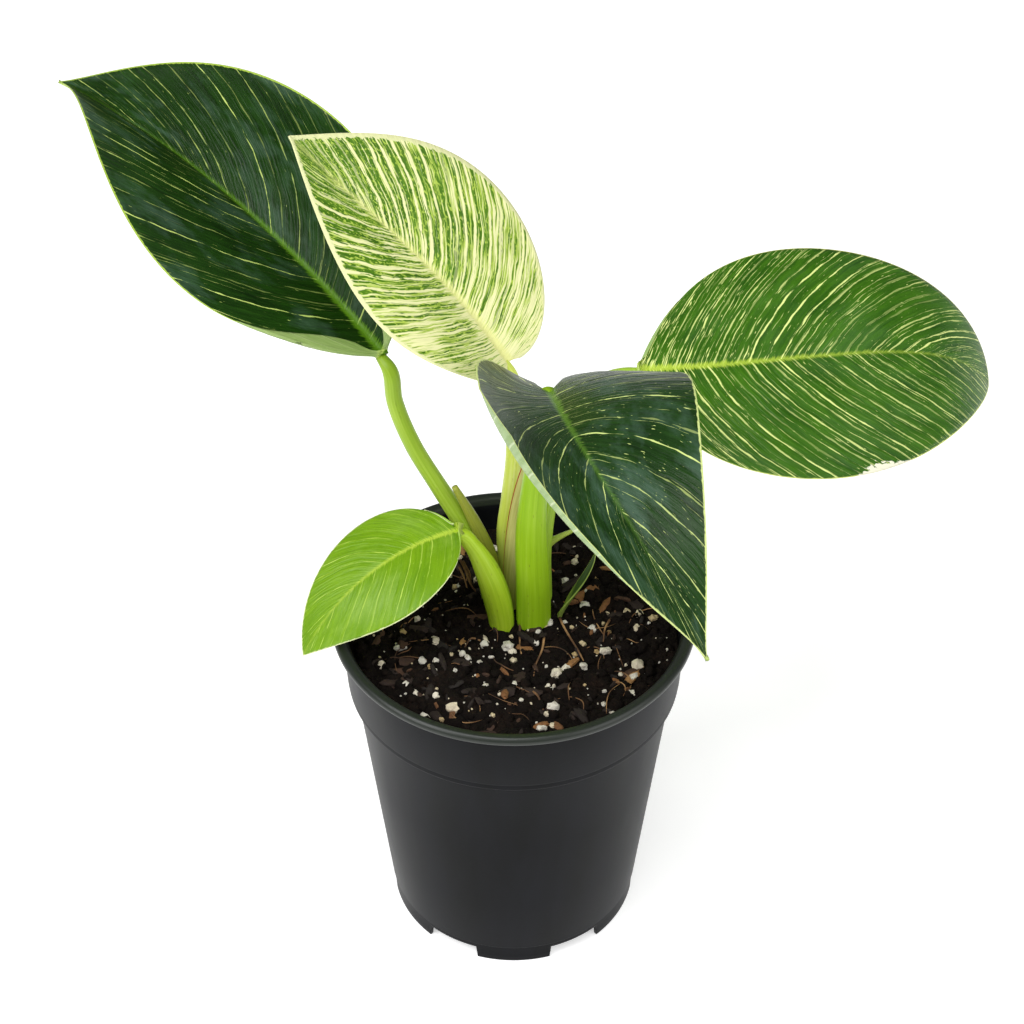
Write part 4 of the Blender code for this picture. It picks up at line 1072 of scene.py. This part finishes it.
foot = 101.2
petioles = {
    "back": (((-6.2, 13.0, foot), 3.4), ((-6.2, 13.0, 106), 3.4), ((-8.0, 13.8, 117), 3.4),
             ((-11.6, 15.2, 127), 3.1), ((-15.6, 17.0, 135.2), 2.9), ((-22.0, 19.7, 145.9), 2.6),
             ((-29.7, 23.0, 159.9), 2.5), ((-34.2, 26.0, 172.5), 2.4)),
    "centre": (((0.0, 17.2, foot), 3.0), ((0.0, 17.2, 106), 3.0), ((-1.9, 17.2, 120), 2.8),
               ((-2.4, 17.4, 130), 2.7), ((-1.2, 18.4, 143), 2.5), ((0.1, 20.9, 158), 2.4),
               ((-0.4, 23.2, 172), 2.3)),
    "right": (((8.6, 15.0, foot), 3.0), ((8.6, 15.0, 106), 3.0), ((8.4, 17.6, 124), 2.9),
              ((10.6, 23, 142), 2.8), ((15, 30, 158), 2.6), ((22, 36, 167), 2.4), ((28.0, 38.8, 170.8), 2.3)),
    "front": (((5.9, 4.4, foot), 5.2), ((5.9, 4.4, 106), 5.2), ((5.8, 4.4, 118), 5.1),
              ((5.1, 4.7, 144), 4.4), ((6.0, 4.9, 160), 3.6), ((7.8, 4.2, 178), 2.9),
              ((9.6, 1.5, 194.2), 2.4)),
    "small": (((-3.6, 3.2, foot), 3.8), ((-3.6, 3.2, 106), 3.8), ((-4.8, 3.2, 115.7), 4.1),
              ((-8.1, 4.6, 127), 3.6), ((-12.0, 6.2, 134.4), 2.5)),
}
sheathEdges = {
    "back": (((-6.4, 12.8, 110), 3.1), ((-6.6, 13.0, 118), 2.9), ((-7.8, 13.4, 125.5), 2.5),
             ((-9.6, 14.0, 131.5), 2.1), ((-12.4, 14.8, 138.5), 1.7), ((-17.2, 15.6, 149.0), 0.9)),
    "right": (((8.5, 18.0, 121.5), 1.8), ((10.6, 18.0, 125.3), 1.3),
              ((13.8, 18.4, 127.4), 0.9), ((17.4, 19.6, 128.6), 0.6)),
}
scales = {
    "cataphyll_centre": {
        "base": (-0.5, 9.8, foot), "length": 66.0, "half": (4.5, 4.5), "lobe": 0.0, "tip": 0.55,
        "heading": (20, 0), "rise": (87, -2, -3), "roll": (65, 0),
        "fold": ((0, 0), (0, 0)), "curl": ((-60, -30), (-60, -30)),
    },
    "cataphyll_side": {
        "base": (12.8, 7.6, foot), "length": 31.0, "half": (1.7, 1.7), "lobe": 0.0, "tip": 0.4,
        "heading": (-60, 120), "rise": (76, -30, 10), "roll": (0, 0),
        "fold": ((10, 10), (10, 10)), "curl": ((40, 30), (40, 30)),
    },
}


seatedBelow = ("front",)   # this petiole meets its blade from below, the others end on
# two points of each end: mm behind the blade's base, mm below it, and the taper
bladeEnds = {"small": ((1.6, 2.6, 0.9), (-1.6, 1.5, 0.55)), "others": ((3.5, 2.0, 0.9), (-0.8, 1.5, 0.62))}


def knotsToBlade(name):
    # the knots with two more that bring the petiole into the end of the midrib
    knots = petioles[name]
    if name in seatedBelow:
        return knots
    leaf = leaves[name]
    forward, upward = bladeAxes(leaf)
    ends = []
    for behind, below, taper in bladeEnds.get(name, bladeEnds["others"]):
        place = np.array(leaf["base"]) - forward * behind - upward * below
        ends.append((tuple(place), knots[-1][1] * taper))
    return (*knots, *ends)


def ribbedStem(share, angle):
    # a nearly round section with faint lengthwise ridges
    return 1 + 0.005 * np.sin(11 * angle + 2 * share) + 0.004 * np.sin(23 * angle)


# stalk colours: dark, middle and light of the lengthwise stripes, and of the second strand where there is one
stalkTints = {
    "back": (("#7f9f1d", "#97b62f", "#b0c850"), ("#7f8228", "#999e38", "#b2b958")),
    "centre": (("#b9c944", "#cddb5c", "#e0e994"), None),
    "right": (("#7fa822", "#a0c43a", "#bdd761"), ("#93ab38", "#b2c455", "#ccd886")),
    "front": (("#83ae12", "#97c01c", "#b0d043"), None),
    "small": (("#93b81c", "#adcc2c", "#c4dc54"), None),
}


def makePetioles():
    # each stalk as one tube, with a second beside it where an open sheath edge or a branch shows
    for name, (main, second) in stalkTints.items():
        shapes = [tubePoints(knotsToBlade(name), 90, 48, ribbedStem)]
        materials = [freshPetiole("fresh_petiole_" + name, main)]
        if second:
            shapes.append(tubePoints(sheathEdges[name], 50, 32, ribbedStem))
            materials.append(freshPetiole("petiole_sheath_" + name, second))
        points, faces, uv = joinShapes(shapes)
        which = np.concatenate([np.full(len(shape[1]), k) for k, shape in enumerate(shapes)])
        makePiece("leaf_stalk_" + name, points, faces, uv, materials, ["petiole_" + name],
                  faceMaterial=which)


def freshPetiole(name, tints):
    # living leaf stalk: smooth yellow-green skin, finely striped along its length, with a few scars
    material, tree = newMaterial(name, 0.36, 1.42, 0.4)
    u, v, _ = addNode(tree, "SeparateXYZ", (addNode(tree, "TexCoord", out="UV"),), out=None)
    turn = addNode(tree, "Math", (u, 2 * math.pi), operation="MULTIPLY")
    ring = [addNode(tree, "Math", (turn,), operation=wave) for wave in ("COSINE", "SINE")]

    def onRing(size, stretch):
        # round the stalk the pattern is read on a circle, so it closes without a seam
        place = [addNode(tree, "Math", pair, operation="MULTIPLY")
                 for pair in ((ring[0], size), (ring[1], size), (v, stretch))]
        return addNode(tree, "CombineXYZ", place)

    stripe = addNode(tree, "TexNoise",
                     {"Vector": onRing(5.0, 3.0), "Scale": 1.0, "Detail": 3.0, "Roughness": 0.65})
    place = addNode(tree, "TexCoord", out="Object")
    broad = addNode(tree, "TexNoise", {"Vector": place, "Scale": 1 / (26.3 * mm)})
    shade = addNode(tree, "Mix", {0: 0.35, 2: stripe, 3: broad})
    skin = addNode(tree, "ValToRGB", (shade,), stops=tuple(zip((0.26, 0.5, 0.76), tints)))
    speck = addNode(tree, "TexNoise", {"Vector": onRing(10.0, 40.0), "Scale": 1.0, "Detail": 1.0})
    scar = addNode(tree, "Math", (stepUp(tree, speck, 0.74, 0.06), 0.6), operation="MULTIPLY")
    colour = paintLayers(tree, skin, (scar, "#6e6a26"))
    return finishSurface(material, {"Base Color": colour}, stripe, 0.3, 0.4)


def leafScale(name, look):
    # leaf scale: fleshy skin striped along its length, changing colour towards its tip, with a coloured edge
    material, tree = newMaterial(name, 0.45, 1.42)
    u, v, _ = addNode(tree, "SeparateXYZ", (addNode(tree, "TexCoord", out="UV"),), out=None)
    edgeGap, tipShare = (addNode(tree, "Attribute", out="Fac", attribute_name=key)
                         for key in ("edgeGap", "tipShare"))
    stripe = streaks(tree, v, u, 0.0, 1 / 16, 1 / 5, 3.0, 0.6)
    lower, upper = (addNode(tree, "ValToRGB", (stripe,), stops=tuple(zip((0.35, 0.65), look[key])))
                    for key in ("lower", "upper"))
    colour = paintLayers(tree, lower, (stepUp(tree, tipShare, look["change"], 0.2), upper),
                         (within(tree, edgeGap, look["edgeWidth"], 0.4), look["edge"]))
    return finishSurface(material, {"Base Color": colour}, stripe, 0.3, 0.4)


print("petioles")
makePetioles()
scaleForm = dict(bladeForm, rows=60, halfColumns=10, thickness=0.6, edgeThickness=0.3, rib=0.7, pleat=0.0)
centreScale = leafScale("fleshy_scale", {"lower": ("#a3ad3a", "#bfc45c"), "upper": ("#b0ac58", "#cfca80"),
                                         "change": 0.5, "edge": "#9c3a1a", "edgeWidth": 1.7})
# the side scale's deep green towards its tip is painted shade
sideScale = leafScale("side_scale_painted_shade", {"lower": ("#7f9a34", "#a3b85a"), "upper": ("#1f3311", "#3a5320"),
                                       "change": 0.55, "edge": "#93a84c", "edgeWidth": 0.5})
makeBlade("leaf_scale_centre", scales["cataphyll_centre"], [centreScale, centreScale], ["cataphyll_centre"],
          scaleForm)
makeBlade("leaf_scale_side", scales["cataphyll_side"], [sideScale, sideScale], ["cataphyll_side"],
          scaleForm)


def corkyCrown():
    # the short stem under the soil: green-brown, corky
    material, tree = newMaterial("corky_crown", 0.8, 1.45)
    place = addNode(tree, "TexCoord", out="Object")
    cork = addNode(tree, "TexNoise",
                   {"Vector": place, "Scale": 1 / (3.85 * mm), "Detail": 4.0, "Roughness": 0.65})
    colour = addNode(tree, "ValToRGB", (cork,), stops=((0.3, "#3a3a1c"), (0.7, "#7d8440")))
    return finishSurface(material, {"Base Color": colour}, cork, 0.6, 0.8)


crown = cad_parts["root_crown"]
crown.data.materials.clear()
crown.data.materials.append(corkyCrown())


# floor, light and camera

studio = {
    "world": 0.25, "tableGlow": 0.5,
    "table": (-4, -4, 4, 6, -0.0002),   # left, front, right and back edges, and its height under the feet
    "lamps": {   # place, target, size, watts
        "top_softbox": ((-0.2, -0.7, 1.7), (0, 0, 0.12), 1.0, 15.0),
        "key_softbox": ((-1.1, -0.6, 1.2), (0, 0, 0.12), 0.8, 14.0),
        "fill_softbox": ((1.1, -0.7, 0.9), (0, 0, 0.12), 1.0, 8.0),
    },
}


def backlitAcrylic():
    # white acrylic of a product table, lit from below so that shadows stay faint
    material, tree = newMaterial("backlit_acrylic", 0.9, 1.49)
    place = addNode(tree, "TexCoord", out="Object")
    cloud = addNode(tree, "TexNoise", {"Vector": place, "Scale": 1 / (25.0 * mm)})
    shader = tree.nodes["Principled BSDF"]
    shader.inputs["Emission Color"].default_value = (1.0, 1.0, 1.0, 1.0)
    shader.inputs["Emission Strength"].default_value = studio["tableGlow"]
    white = addNode(tree, "ValToRGB", (cloud,), stops=((0.3, "#f2f2f2"), (0.7, "#f6f6f6")))
    return finishSurface(material, {"Base Color": white})


print("studio")
left, front, right, back, level = studio["table"]
floorMesh = bpy.data.meshes.new("studio_floor")
floorCorners = [(left, front, level), (right, front, level), (right, back, level), (left, back, level)]
floorMesh.from_pydata(floorCorners, [], [(0, 1, 2, 3)])
floorMesh.materials.append(backlitAcrylic())
floor = bpy.data.objects.new("studio_floor", floorMesh)
scene.collection.objects.link(floor)


def addLights():
    # an even white world, and square softboxes that each look at their target
    world = bpy.data.worlds.new("studio")
    world.use_nodes = True
    background = world.node_tree.nodes["Background"]
    background.inputs[0].default_value = (1, 1, 1, 1)
    background.inputs[1].default_value = studio["world"]
    scene.world = world
    for name, (place, target, size, watts) in studio["lamps"].items():
        data = bpy.data.lights.new(name, "AREA")
        data.shape = "SQUARE"
        data.size = size
        data.energy = watts
        lamp = bpy.data.objects.new(name, data)
        lamp.location = place
        away = np.array(place) - np.array(target)
        tilt, turn = math.atan2(math.hypot(away[0], away[1]), away[2]), math.atan2(away[0], -away[1])
        lamp.rotation_euler = (tilt, 0, turn)
        scene.collection.objects.link(lamp)


addLights()

view = {"place": (-0.00053, -0.4910, 0.5729), "tilt": 49.445, "lens": 80.0}
cameraData = bpy.data.cameras.new("camera")
cameraData.lens = view["lens"]
cameraData.sensor_width = 36.0
cameraData.clip_start = 0.01
camera = bpy.data.objects.new("camera", cameraData)
camera.location = view["place"]
camera.rotation_euler = (math.radians(view["tilt"]), 0, 0)
scene.collection.objects.link(camera)
scene.camera = camera
scene.view_settings.view_transform = "Standard"

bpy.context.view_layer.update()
